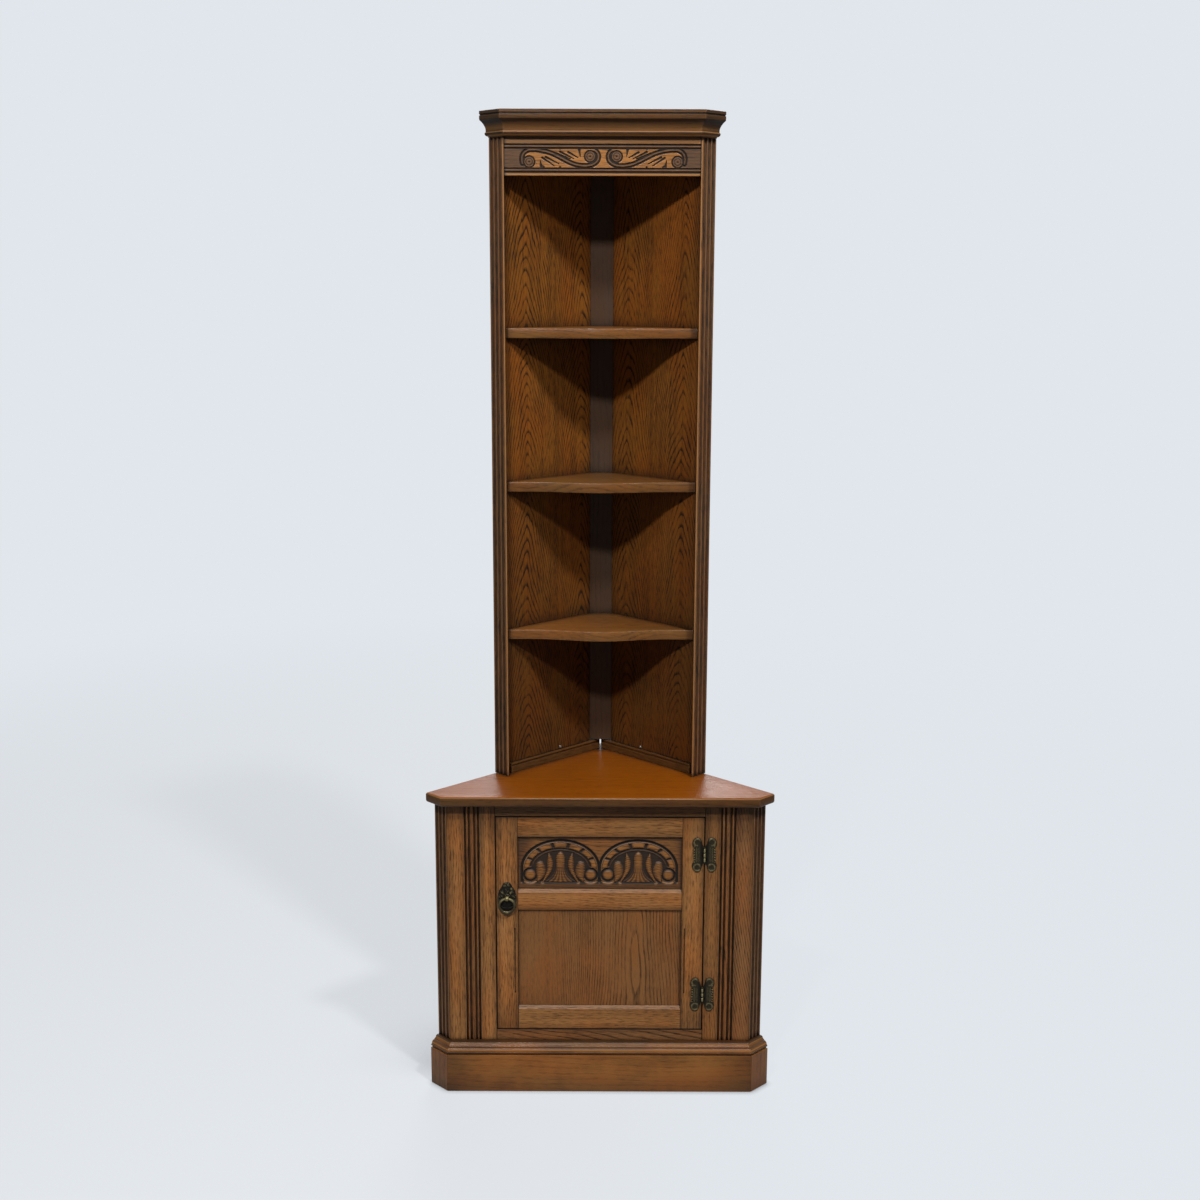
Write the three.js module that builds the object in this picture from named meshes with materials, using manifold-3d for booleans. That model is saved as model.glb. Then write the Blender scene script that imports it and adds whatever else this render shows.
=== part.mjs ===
// Corner cupboard in oak: a lower cupboard with one framed door, and an open upper part with shelves.
// Millimetres, +Z up. X runs from left to right and Y from the front to the corner of the room.
// The origin lies on the floor, at the middle of the footprint.
// A setback is measured from the foremost face, which is the front of the plinth.

import * as THREE from 'three';
import { mergeVertices } from 'three/addons/utils/BufferGeometryUtils.js';
import Module from 'manifold-3d';

const wasm = await Module();
wasm.setup();

// Overall size
const overallWidth = 660;
const overallHeight = 1843;
const boardTopHeight = 596;
const wallEndSetback = 34;

// Fits
const glueGap = 0.3;
const doorGap = 1.5;
const cutOverrun = 2;

// Top board of the lower cupboard
const boardSetback = 3;
const boardThickness = 19;
const boardEdgeRound = 4;
const boardEdgeSteps = 3;

// Lower carcass: canted pilasters at the sides and a framed front
const carcassInset = 15;
const carcassSetback = 25;
const frameThickness = 20;
const pilasterThickness = 20;
const outerStileWidth = 33.2;
const reededStripWidth = 27.7;
const frameStileWidth = 30;
const topRailHeight = 25;
const bottomRailHeight = 43;

// Flutes of the pilasters
const fluteCount = 3;
const fluteWidth = 7.4;
const fluteDepth = 3.6;
const fluteSteps = 6;

// Reeded strip beside each frame stile
const narrowReedWidth = 4;
const wideReedWidth = 8;
const reedGrooveDepth = 6;
const reedSteps = 5;

// Plinth and its moulding
const plinthInset = 0.6;
const plinthHeight = 75;
const plinthMouldingHeight = 21;
const plinthMouldingSetback = 0.4;
const plinthBackThickness = 18;

// Back panels and rear corner posts
const panelInset = 14;
const panelThickness = 6;
const cornerPostFace = 44;

// Inside of the lower cupboard
const floorDrop = 3;
const floorThickness = 16;
const innerShelfRise = 221;
const innerShelfRecess = 17;
const innerShelfThickness = 16;

// Door
const doorThickness = 19;
const doorStileWidth = 41;
const doorTopRailWidth = 38.5;
const carvedPanelHeight = 106.7;
const doorMidRailWidth = 41.5;
const doorBottomRailWidth = 46.5;
const doorChamferRise = 6;
const doorChamferDepth = 5;
const doorBeadRise = 5;
const doorBeadDepth = 2;
const doorPanelThickness = 8;
const doorPanelRecess = 6;
const doorPanelTongue = 8;
const doorPanelFit = 0.4;
const stileGrooveWidth = 3;
const stileGrooveDepth = 2.5;
const stileGrooveMargin = 6;
const stileGrooveLength = 134;
const stileGrooveFoot = 27.5;
const stileGrooveSteps = 6;

// Hinges
const hingeLeafHeight = 70;
const hingeLeafWidth = 23.75;
const hingeLeafThickness = 1.8;
const hingeUpperDrop = 73.6;
const hingeLowerRise = 72.5;
const hingeBarrelRadius = 3;
const hingeBarrelLength = 28;
const hingeKnuckleGap = 0.4;
const hingePinRadius = 1.5;
const hingePinFit = 0.35;
const hingeFinialRadius = 2.6;
const hingeBarrelClearance = 0.7;
const hingeToothCount = 4;
const barrelSides = 20;
const barrelKnuckles = 3;

// Ring pull
const pullPlateHeight = 66;
const pullPlateWidth = 37;
const pullPlateThickness = 2.2;
const pullPlateDrop = 130.2;
const pullPivotRise = 35.5;
const pullNeck = 3.5;
const pullBallRadius = 5;
const pullBallSteps = 10;
const pullEyeFit = 1.1;
const pullRingRadius = 14;
const pullWireRadius = 2;
const pullCollarRadius = 4;
const pullCollarThickness = 1.2;
const pullShankRadius = 2.2;
const pullShankFit = 0.4;
const pullNutRadius = 6.5;
const pullNutThickness = 3.5;
const pullShankEnd = 1.5;
const nutSides = 6;
const turnedSides = 20;
const ringSegments = 28;
const wireSides = 10;

// Door catch
const catchHeight = 30;
const catchDrop = 80.2;
const catchDepth = 12;
const catchFixWidth = 20;
const catchReach = 20;
const catchGap = 2.5;
const strikeThickness = 1.5;
const strikeWidth = 12;

// Upper part
const upperInset = 123.3;
const upperCantDepth = 26;
const upperPostThickness = 20;
const upperPostLip = 2.2;
const upperTopThickness = 19;
const baseRailHeight = 19;
const baseRailInset = 5;
const baseRailThickness = 21;
const baseRailMitreGap = 3;
const baseRailGroove = 4;
const baseRailGrooveDepth = 2;
const baseRailGrooveDrop = 2.5;
const cornerPostGap = 3;

// Frieze rail
const friezeHeight = 67;
const friezeThickness = 20;
const friezeBottomBand = 5.5;
const friezeTopBand = 11;
const friezeGroove = 2.2;
const friezeBead = 4.6;
const friezeGrooveDepth = 2.5;
const friezeBeadSteps = 5;

// Cornice
const corniceHeight = 46;
const corniceProjection = 22.8;
const corniceLedge = 5.7;

// Shelves
const topBayHeight = 272;
const shelfThickness = 19;
const shelfEndRecess = 21.7;
const shelfBow = 20;
const shelfStraightLength = 48.2;
const shelfBowSteps = 20;
const shelfEdgeRound = 1.5;
const shelfEdgeSteps = 2;

// Screws that hold the upper part through its base rails
const screwHeadRadius = 3;
const screwHeadThickness = 2.4;
const screwRise = 5;
const screwDistance = 135;
const screwSides = 16;

// Directions and shares that follow from the square corner
const diagonalShare = Math.SQRT1_2;
const cantMitreShare = Math.tan(Math.PI / 8);
const halfShare = 1 / 2;

// Levels and planes worked out from the sizes above
const overallDepth = overallWidth * halfShare + wallEndSetback;
const carcassWidth = overallWidth - carcassInset * 2;
const plinthWidth = overallWidth - plinthInset * 2;
const upperWidth = overallWidth - upperInset * 2;
const upperSetback = overallDepth - upperWidth * halfShare - upperCantDepth;
const corniceSetback = upperSetback - corniceLedge;
const frontY = -overallDepth * halfShare;
const cornerY = overallDepth * halfShare;
const carcassFrontY = frontY + carcassSetback;
const upperFrontY = frontY + upperSetback;
const carcassTop = boardTopHeight - boardThickness - glueGap;
const panelFace = panelInset + panelThickness;
const upperBase = boardTopHeight + glueGap;
const upperTop = overallHeight - corniceHeight;
const friezeBase = upperTop - friezeHeight;
const topShelfHeight = friezeBase - topBayHeight;
const bottomRailTop = plinthHeight + bottomRailHeight;
const floorTopHeight = bottomRailTop - floorDrop;
const innerShelfHeight = floorTopHeight + innerShelfRise;
const openingHalfWidth = cantedCorners(carcassWidth, carcassSetback).front[0]
  - outerStileWidth - reededStripWidth - frameStileWidth - glueGap * 3;
const doorHalfWidth = openingHalfWidth - doorGap;
const doorTop = carcassTop - topRailHeight - doorGap;
const doorBase = bottomRailTop + doorGap;
const doorTopRailBase = doorTop - doorTopRailWidth;
const doorMidRailTop = doorTopRailBase - carvedPanelHeight;
const doorBackY = carcassFrontY + doorThickness;
const doorInnerHalf = doorHalfWidth - doorStileWidth;
const hingePivotX = openingHalfWidth - doorGap * halfShare;
const hingePivotY = carcassFrontY - glueGap - hingeBarrelRadius;
const hingeBoreRadius = hingePinRadius + hingePinFit;
const pullX = -(doorHalfWidth - doorStileWidth * halfShare);
const pullPlateFrontY = carcassFrontY - glueGap - pullPlateThickness;
const pullCollarFrontY = pullPlateFrontY - glueGap - pullCollarThickness;
const pullPivotY = pullCollarFrontY - pullNeck;
const pullPlateBase = doorTop - pullPlateDrop - pullPlateHeight;
const pullPivotHeight = pullPlateBase + pullPivotRise;

// Tops of the shelves, as shares of the height from the board to the topmost shelf
const shelfHeightShares = [0.33527, 0.66705, 1];

// Outlines of the moulded and cast pieces, as shares of each one's own width and height
const corniceShares = [
  [0.06, 0], [0.06, 0.04], [0.3, 0.06], [0.42, 0.1], [0.45, 0.15], [0.42, 0.195], [0.33, 0.21],
  [0.33, 0.285], [0.36, 0.35], [0.42, 0.41], [0.5, 0.46], [0.62, 0.52], [0.76, 0.58], [0.9, 0.62],
  [0.97, 0.64], [1, 0.7], [1, 0.81], [0.93, 0.826], [0.93, 0.865], [1, 0.875], [1, 0.985], [0.97, 1],
];
const plinthMouldingShares = [
  [0.86, 0], [0.86, 0.12], [0.98, 0.14], [1, 0.2], [0.98, 0.28], [0.9, 0.3], [0.89, 0.42],
  [0.84, 0.52], [0.75, 0.6], [0.64, 0.64], [0.58, 0.65], [0.56, 0.7], [0.46, 0.76], [0.4, 0.82],
  [0.39, 0.88], [0.34, 0.95], [0.26, 0.99], [0.18, 1],
];
const hingeLobeShares = [
  [0, 0.72], [0.06, 0.86], [0.2, 0.96], [0.46, 1], [0.74, 0.98], [0.93, 0.91], [1, 0.81], [0.96, 0.74],
];
const hingeToothStartShare = 0.7;
const hingeToothTipShare = 0.95;
const hingeToothRootShare = 0.84;
const pullPlateShares = [
  [0.5, 0], [0.64, 0.03], [0.76, 0.12], [0.9, 0.2], [0.93, 0.32], [1, 0.4], [0.97, 0.52], [0.84, 0.6],
  [0.86, 0.7], [0.8, 0.8], [0.68, 0.84], [0.62, 0.94], [0.5, 1],
];

// Points in plan

function cantedCorners(width, setback) {
  const halfWidth = width * halfShare;
  const front = frontY + setback;
  const wallEnd = cornerY - halfWidth;
  return { front: [halfWidth - (wallEnd - front), front], wall: [halfWidth, wallEnd] };
}

function alongWall(distance, inset) {
  return [(distance - inset) * diagonalShare, cornerY - (distance + inset) * diagonalShare];
}

function mirrored(points) {
  return points.map(([x, y]) => [-x, y]);
}

function symmetric(points) {
  return [...points, ...mirrored(points).reverse().filter(([x]) => x !== 0)];
}

function wallLength(corners) {
  return corners.wall[0] / diagonalShare;
}

function flutedFace(from, to, count, width, depth) {
  const length = Math.hypot(to[0] - from[0], to[1] - from[1]);
  const along = [(to[0] - from[0]) / length, (to[1] - from[1]) / length];
  const inward = [-along[1], along[0]];
  const land = (length - count * width) / (count + 1);
  const points = [from];
  for (let flute = 0; flute < count; flute += 1) {
    const middle = land * (flute + 1) + width * (flute + halfShare);
    for (let step = 0; step <= fluteSteps; step += 1) {
      const turn = Math.PI * step / fluteSteps;
      const travel = middle - width * halfShare * Math.cos(turn);
      const sink = depth * Math.sin(turn);
      points.push([
        from[0] + along[0] * travel + inward[0] * sink,
        from[1] + along[1] * travel + inward[1] * sink,
      ]);
    }
  }
  points.push(to);
  return points;
}

// Solids

function outline(points) {
  return new THREE.Shape(points.map(([x, y]) => new THREE.Vector2(x, y)));
}

function upright(points, bottom, top) {
  const geometry = new THREE.ExtrudeGeometry(outline(points), { depth: top - bottom, bevelEnabled: false });
  return geometry.translate(0, 0, bottom);
}

function roundedBoard(points, bottom, thickness, round, segments) {
  const geometry = new THREE.ExtrudeGeometry(outline(points), {
    depth: thickness - round * 2,
    bevelThickness: round,
    bevelSize: round,
    bevelOffset: -round,
    bevelSegments: segments,
  });
  return geometry.translate(0, 0, bottom + round);
}

// A section drawn as (out, up) runs from one plan point to the next, and its outer face is on the left
// of someone who walks that way. Each end slopes outwards by its mitre share.
function run(section, from, to, mitreAtStart = 0, mitreAtEnd = 0) {
  const length = Math.hypot(to[0] - from[0], to[1] - from[1]);
  const along = new THREE.Vector3((to[0] - from[0]) / length, (to[1] - from[1]) / length, 0);
  const up = new THREE.Vector3(0, 0, 1);
  const out = new THREE.Vector3().crossVectors(up, along);
  const geometry = new THREE.ExtrudeGeometry(outline(section), { depth: length, bevelEnabled: false });
  const places = geometry.attributes.position;
  for (let i = 0; i < places.count; i += 1) {
    const atEnd = places.getZ(i) > length * halfShare;
    const reach = places.getX(i);
    const gap = glueGap * halfShare;
    places.setZ(i, atEnd ? length + reach * mitreAtEnd - gap : gap - reach * mitreAtStart);
  }
  geometry.applyMatrix4(new THREE.Matrix4().makeBasis(out, up, along));
  return geometry.translate(from[0], from[1], 0);
}

// A flat outline drawn in (x, z) and given its thickness along Y
function facePlate(points, front, back) {
  const geometry = new THREE.ExtrudeGeometry(outline(points), { depth: back - front, bevelEnabled: false });
  geometry.rotateX(Math.PI * halfShare);
  return geometry.translate(0, back, 0);
}

function block(low, high) {
  const size = high.map((value, axis) => value - low[axis]);
  const middle = high.map((value, axis) => (value + low[axis]) * halfShare);
  return new THREE.BoxGeometry(...size).translate(...middle);
}

function solidOf(geometry) {
  const bare = geometry.clone();
  bare.deleteAttribute('normal');
  bare.deleteAttribute('uv');
  const merged = mergeVertices(bare);
  return new wasm.Manifold(new wasm.Mesh({
    numProp: 3,
    vertProperties: merged.attributes.position.array,
    triVerts: Uint32Array.from(merged.index.array),
  }));
}

function geometryOf(solid) {
  const mesh = solid.getMesh();
  const geometry = new THREE.BufferGeometry();
  geometry.setAttribute('position', new THREE.BufferAttribute(mesh.vertProperties, 3));
  geometry.setIndex(new THREE.BufferAttribute(mesh.triVerts, 1));
  geometry.computeVertexNormals();
  return geometry;
}

function joined(first, ...others) {
  return geometryOf(others.reduce((sum, other) => sum.add(solidOf(other)), solidOf(first)));
}

function cut(first, ...others) {
  return geometryOf(others.reduce((rest, other) => rest.subtract(solidOf(other)), solidOf(first)));
}

// Materials

const finishes = {
  oak: { color: 0x734b2a, roughness: 0.42, metalness: 0 },
  oakGlossy: { color: 0x82480f, roughness: 0.3, metalness: 0 },
  oakPanel: { color: 0x643c19, roughness: 0.5, metalness: 0 },
  oakDark: { color: 0x4a3524, roughness: 0.5, metalness: 0 },
  antiqueBrass: { color: 0x5c5640, roughness: 0.4, metalness: 0.9 },
  brass: { color: 0xa08a58, roughness: 0.3, metalness: 1 },
  steel: { color: 0xb4b4b0, roughness: 0.35, metalness: 1 },
  darkPlastic: { color: 0x2e241c, roughness: 0.5, metalness: 0 },
};

const cupboard = new THREE.Group();

function add(name, finish, geometry) {
  const mesh = new THREE.Mesh(geometry, new THREE.MeshStandardMaterial(finishes[finish]));
  mesh.name = name;
  cupboard.add(mesh);
  return mesh;
}

function addPair(name, finish, points, bottom, top) {
  add(`${name}_left`, finish, upright(mirrored(points), bottom, top));
  add(`${name}_right`, finish, upright(points, bottom, top));
}

// The three runs of a moulding: right cant, front and left cant
function addRuns(name, finish, corners, frontSection, cantSection) {
  const [front] = mirrored([corners.front]);
  const [wall] = mirrored([corners.wall]);
  add(`${name}_right`, finish, run(cantSection, corners.wall, corners.front, 0, cantMitreShare));
  add(`${name}_front`, finish, run(frontSection, corners.front, front, cantMitreShare, cantMitreShare));
  add(`${name}_left`, finish, run(cantSection, front, wall, cantMitreShare, 0));
}

// Distance between the canted faces of two outlines, measured square to them
function cantDistance(outer, inner) {
  return ((outer.front[0] - outer.front[1]) - (inner.front[0] - inner.front[1])) * diagonalShare;
}

// Back panels and the post in the rear corner, which both parts of the cupboard have

function cornerPostPoints() {
  const edge = cornerPostFace * halfShare / diagonalShare + panelFace;
  return symmetric([alongWall(edge, panelFace), alongWall(edge, 0), [0, cornerY]]);
}

function backPanelPoints(corners, postThickness) {
  const start = cornerPostFace * halfShare / diagonalShare + panelFace + glueGap;
  const end = wallLength(corners) - postThickness - glueGap;
  return [
    alongWall(start, panelInset),
    alongWall(end, panelInset),
    alongWall(end, panelFace),
    alongWall(start, panelFace),
  ];
}

// Front of anything that fills the corner between the panels, at a given half width
function panelFaceY(x) {
  return cornerY - (panelFace + glueGap) / diagonalShare - x;
}

function addLowerFrame() {
  const corners = cantedCorners(carcassWidth, carcassSetback);
  const backLine = carcassFrontY + frameThickness;
  const mitreX = corners.front[0] - frameThickness * cantMitreShare;
  const pilaster = [
    ...flutedFace(corners.front, corners.wall, fluteCount, fluteWidth, fluteDepth),
    alongWall(wallLength(corners) - pilasterThickness, 0),
    [mitreX, backLine],
  ];
  addPair('lower_pilaster', 'oakDark', pilaster, 0, carcassTop);

  const stileOuter = corners.front[0] - glueGap;
  const stileInner = stileOuter - outerStileWidth;
  const outerStile = [
    [stileInner, carcassFrontY],
    [stileOuter, carcassFrontY],
    [mitreX - glueGap, backLine],
    [stileInner, backLine],
  ];
  addPair('outer_stile', 'oak', outerStile, 0, carcassTop);

  const stripOuter = stileInner - glueGap;
  addPair('reeded_strip', 'oakDark', reededStripPoints(stripOuter, backLine), 0, carcassTop);

  const frameOuter = stripOuter - reededStripWidth - glueGap;
  const frameStile = [
    [openingHalfWidth, carcassFrontY],
    [frameOuter, carcassFrontY],
    [frameOuter, backLine],
    [openingHalfWidth, backLine],
  ];
  addPair('frame_stile', 'oak', frameStile, 0, carcassTop);

  const railHalf = openingHalfWidth - glueGap;
  add('frame_top_rail', 'oak', block(
    [-railHalf, carcassFrontY, carcassTop - topRailHeight],
    [railHalf, backLine, carcassTop],
  ));
  add('frame_bottom_rail', 'oak', block(
    [-railHalf, carcassFrontY, plinthHeight],
    [railHalf, backLine, bottomRailTop],
  ));
}

function reededStripPoints(outerX, backLine) {
  const reeds = [narrowReedWidth, wideReedWidth, narrowReedWidth];
  const reedTotal = reeds.reduce((sum, width) => sum + width, 0);
  const groove = (reededStripWidth - reedTotal) / (reeds.length + 1);
  const floorY = carcassFrontY + reedGrooveDepth;
  const points = [[outerX, backLine], [outerX, floorY]];
  let edge = outerX;
  for (const width of reeds) {
    edge -= groove;
    const radius = width * halfShare;
    points.push([edge, floorY]);
    for (let step = 0; step <= reedSteps; step += 1) {
      const turn = Math.PI * step / reedSteps;
      points.push([
        edge - radius + radius * Math.cos(turn),
        carcassFrontY + radius - radius * Math.sin(turn),
      ]);
    }
    edge -= width;
    points.push([edge, floorY]);
  }
  points.push([outerX - reededStripWidth, floorY], [outerX - reededStripWidth, backLine]);
  return points;
}

function addLowerBack() {
  const corners = cantedCorners(carcassWidth, carcassSetback);
  const base = plinthHeight + glueGap;
  addPair('lower_back_panel', 'oakPanel', backPanelPoints(corners, pilasterThickness), base, carcassTop);
  add('lower_corner_post', 'oakDark', upright(cornerPostPoints(), base, carcassTop));

  const end = wallLength(corners) - pilasterThickness - glueGap;
  const start = glueGap / diagonalShare;
  const board = [
    alongWall(start, 0),
    alongWall(end, 0),
    alongWall(end, plinthBackThickness),
    alongWall(start + plinthBackThickness, plinthBackThickness),
  ];
  addPair('plinth_back', 'oakDark', board, 0, plinthHeight);
}

// Floor and shelf of the lower cupboard, cut to the inside of pilasters, panels and corner post
function addLowerShelves() {
  const corners = cantedCorners(carcassWidth, carcassSetback);
  const innerEnd = wallLength(corners) - pilasterThickness - glueGap;
  const side = alongWall(innerEnd, panelFace + glueGap);
  const post = cornerPostFace * halfShare;
  const inside = (front) => symmetric([
    [side[0] - (side[1] - front), front],
    side,
    [post, panelFaceY(post)],
  ]);
  const floorFront = carcassFrontY + frameThickness + glueGap;
  const floorBottom = floorTopHeight - floorThickness;
  add('cupboard_floor', 'oakPanel', upright(inside(floorFront), floorBottom, floorTopHeight));
  const shelfFront = carcassFrontY + frameThickness + innerShelfRecess;
  const shelf = symmetric([
    [panelFaceY(shelfFront), shelfFront],
    [post, panelFaceY(post)],
  ]);
  const shelfBottom = innerShelfHeight - innerShelfThickness;
  add('cupboard_shelf', 'oakPanel', upright(shelf, shelfBottom, innerShelfHeight));
}

function addTopBoard() {
  const corners = cantedCorners(overallWidth, boardSetback);
  const points = symmetric([corners.front, corners.wall, [0, cornerY]]);
  add('top_board', 'oakGlossy', roundedBoard(
    points, boardTopHeight - boardThickness, boardThickness, boardEdgeRound, boardEdgeSteps,
  ));
}

function addPlinth() {
  const corners = cantedCorners(plinthWidth, 0);
  const carcass = cantedCorners(carcassWidth, carcassSetback);
  const board = (thickness) => [[0, 0], [0, plinthHeight], [-thickness, plinthHeight], [-thickness, 0]];
  const frontBoard = board(carcassSetback - glueGap);
  const cantBoard = board(cantDistance(corners, carcass) - glueGap);
  addRuns('plinth', 'oak', corners, frontBoard, cantBoard);

  const seatDistance = cantDistance(corners, carcass);
  const ledge = carcassSetback - seatDistance;
  const seat = cantedCorners(carcassWidth, carcassSetback - ledge);
  const projection = seatDistance - plinthMouldingSetback;
  const base = plinthHeight + glueGap;
  const height = plinthMouldingHeight - glueGap;
  const face = plinthMouldingShares.map(([out, up]) => [out * projection, base + up * height]);
  const moulding = (back) => [...face, [back, base + height], [back, base]];
  addRuns('plinth_moulding', 'oak', seat, moulding(glueGap - ledge), moulding(glueGap));
}

// Door

function doorSection(bottom, top, hasTopGroove, hasBottomGroove, isChamfered, isBeaded) {
  const grooveFront = doorPanelFit - doorPanelRecess;
  const grooveBack = -(doorPanelRecess + doorPanelThickness + doorPanelFit);
  const depth = doorPanelTongue + doorPanelFit;
  const points = [];
  if (isBeaded) {
    points.push([-doorBeadDepth, bottom], [0, bottom + doorBeadRise]);
  } else {
    points.push([0, bottom]);
  }
  if (isChamfered) {
    points.push([0, top - doorChamferRise], [-doorChamferDepth, top]);
  } else {
    points.push([0, top]);
  }
  if (hasTopGroove) {
    points.push([grooveFront, top], [grooveFront, top - depth]);
    points.push([grooveBack, top - depth], [grooveBack, top]);
  }
  points.push([-doorThickness, top], [-doorThickness, bottom]);
  if (hasBottomGroove) {
    points.push([grooveBack, bottom], [grooveBack, bottom + depth]);
    points.push([grooveFront, bottom + depth], [grooveFront, bottom]);
  }
  return points;
}

function doorRail(bottom, top, hasTopGroove, hasBottomGroove, isChamfered, isBeaded) {
  const section = doorSection(bottom, top, hasTopGroove, hasBottomGroove, isChamfered, isBeaded);
  const body = run(section, [doorInnerHalf, carcassFrontY], [-doorInnerHalf, carcassFrontY]);
  const shoulder = doorPanelTongue + doorPanelFit * 2;
  const tenonLow = hasBottomGroove ? bottom + shoulder : bottom + doorBeadRise;
  const tenonHigh = hasTopGroove ? top - shoulder : top - doorBeadRise;
  const reach = doorInnerHalf + doorPanelTongue;
  const front = carcassFrontY + doorPanelRecess;
  const tenon = block([-reach, front, tenonLow], [reach, front + doorPanelThickness, tenonHigh]);
  return joined(body, tenon);
}

// A stile with the panel groove along its inner edge, and a short stopped groove on its face
function doorStile(isHingeSide) {
  const side = isHingeSide ? 1 : -1;
  const grooveFront = carcassFrontY + doorPanelRecess - doorPanelFit;
  const grooveBack = carcassFrontY + doorPanelRecess + doorPanelThickness + doorPanelFit;
  const floorX = doorInnerHalf + doorPanelTongue + doorPanelFit;
  const points = [
    [doorInnerHalf, carcassFrontY],
    [doorHalfWidth, carcassFrontY],
    [doorHalfWidth, doorBackY],
    [doorInnerHalf, doorBackY],
    [doorInnerHalf, grooveBack],
    [floorX, grooveBack],
    [floorX, grooveFront],
    [doorInnerHalf, grooveFront],
  ].map(([x, y]) => [side * x, y]);
  const stile = upright(points, doorBase, doorTop);
  const grooveX = side * (doorInnerHalf + stileGrooveMargin);
  const grooveBase = doorBase + doorBottomRailWidth + stileGrooveFoot;
  const radius = stileGrooveWidth * halfShare;
  const capsule = [];
  for (let step = 0; step <= stileGrooveSteps; step += 1) {
    const turn = Math.PI * step / stileGrooveSteps;
    const top = grooveBase + stileGrooveLength - radius;
    capsule.push([grooveX + radius * Math.cos(turn), top + radius * Math.sin(turn)]);
  }
  for (let step = 0; step <= stileGrooveSteps; step += 1) {
    const turn = Math.PI * (1 + step / stileGrooveSteps);
    capsule.push([grooveX + radius * Math.cos(turn), grooveBase + radius + radius * Math.sin(turn)]);
  }
  const groove = facePlate(capsule, carcassFrontY - cutOverrun, carcassFrontY + stileGrooveDepth);
  if (isHingeSide) {
    return cut(stile, groove);
  }
  return cut(stile, groove, pullBore(doorBackY + cutOverrun));
}

function doorPanel(bottom, top) {
  const edge = doorInnerHalf + doorPanelTongue;
  const front = carcassFrontY + doorPanelRecess;
  return block(
    [-edge, front, bottom - doorPanelTongue],
    [edge, front + doorPanelThickness, top + doorPanelTongue],
  );
}

function addDoor() {
  const bottomRailTopEdge = doorBase + doorBottomRailWidth;
  const midRailBase = doorMidRailTop - doorMidRailWidth;
  add('door_hinge_stile', 'oak', doorStile(true));
  add('door_lock_stile', 'oak', doorStile(false));
  add('door_top_rail', 'oak', doorRail(doorTopRailBase, doorTop, false, true, false, false));
  add('door_mid_rail', 'oak', doorRail(midRailBase, doorMidRailTop, true, true, true, true));
  add('door_bottom_rail', 'oak', doorRail(doorBase, bottomRailTopEdge, true, false, true, false));
  add('door_carved_panel', 'oakPanel', doorPanel(doorMidRailTop, doorTopRailBase));
  add('door_lower_panel', 'oakPanel', doorPanel(bottomRailTopEdge, midRailBase));
}

// Hinges

function turnedUpright(profile, sides, x, y, z) {
  const points = profile.map(([radius, height]) => new THREE.Vector2(radius, height));
  const geometry = new THREE.LatheGeometry(points, sides);
  geometry.rotateX(Math.PI * halfShare);
  return geometry.translate(x, y, z);
}

function knuckle(height, index) {
  const share = hingeBarrelLength / barrelKnuckles;
  const bottom = height - hingeBarrelLength * halfShare + share * index + hingeKnuckleGap * halfShare;
  const length = share - hingeKnuckleGap;
  const rod = (radius, low, high) => turnedUpright(
    [[0, low], [radius, low], [radius, high], [0, high]], barrelSides, hingePivotX, hingePivotY, 0,
  );
  return {
    body: rod(hingeBarrelRadius, bottom, bottom + length),
    bore: rod(hingeBoreRadius, bottom - cutOverrun, bottom + length + cutOverrun),
    bottom,
    top: bottom + length,
  };
}

// A lobe at each end of the leaf, and teeth along the outer edge between them
function hingeLeafPoints(height, side) {
  const lowerLobe = hingeLobeShares.map(([out, up]) => [out, 1 - up]).reverse();
  const teeth = [];
  for (let step = 0; step <= hingeToothCount * 2; step += 1) {
    const out = step % 2 === 0 ? hingeToothRootShare : hingeToothTipShare;
    const travel = (hingeToothStartShare * 2 - 1) * step / (hingeToothCount * 2);
    teeth.push([out, hingeToothStartShare - travel]);
  }
  const inner = hingeBarrelRadius + hingeBarrelClearance;
  return [...hingeLobeShares, ...teeth, ...lowerLobe].map(([out, up]) => [
    hingePivotX + side * (inner + (hingeLeafWidth - inner) * out),
    height + (up - halfShare) * hingeLeafHeight,
  ]);
}

// One leaf lies on the face of the door or the frame, and a tab joins it to each of its knuckles
function hingeLeaf(height, side, indices) {
  const back = carcassFrontY - glueGap;
  const front = back - hingeLeafThickness;
  const plate = facePlate(hingeLeafPoints(height, side), front, back);
  const knuckles = indices.map((index) => knuckle(height, index));
  const reach = hingePivotX + side * hingeLeafWidth * halfShare;
  const tabs = knuckles.map((each) => block(
    [Math.min(hingePivotX, reach), front, each.bottom],
    [Math.max(hingePivotX, reach), back, each.top],
  ));
  const leaf = joined(plate, ...tabs, ...knuckles.map((each) => each.body));
  return cut(leaf, ...knuckles.map((each) => each.bore));
}

function hingePin(height) {
  const half = hingeBarrelLength * halfShare + glueGap;
  const slope = hingeFinialRadius * diagonalShare;
  const dome = [[hingeFinialRadius, 0], [slope, slope], [0, hingeFinialRadius]];
  const profile = [
    ...dome.map(([out, up]) => [out, -half - up]).reverse(),
    [hingePinRadius, -half],
    [hingePinRadius, half],
    ...dome.map(([out, up]) => [out, half + up]),
  ];
  return turnedUpright(profile, barrelSides, hingePivotX, hingePivotY, height);
}

function addHinges() {
  const heights = { upper: doorTop - hingeUpperDrop, lower: doorBase + hingeLowerRise };
  for (const [name, height] of Object.entries(heights)) {
    add(`hinge_${name}_frame_leaf`, 'antiqueBrass', hingeLeaf(height, 1, [0, 2]));
    add(`hinge_${name}_door_leaf`, 'antiqueBrass', hingeLeaf(height, -1, [1]));
    add(`hinge_${name}_pin`, 'brass', hingePin(height));
  }
}

// Ring pull

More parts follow.
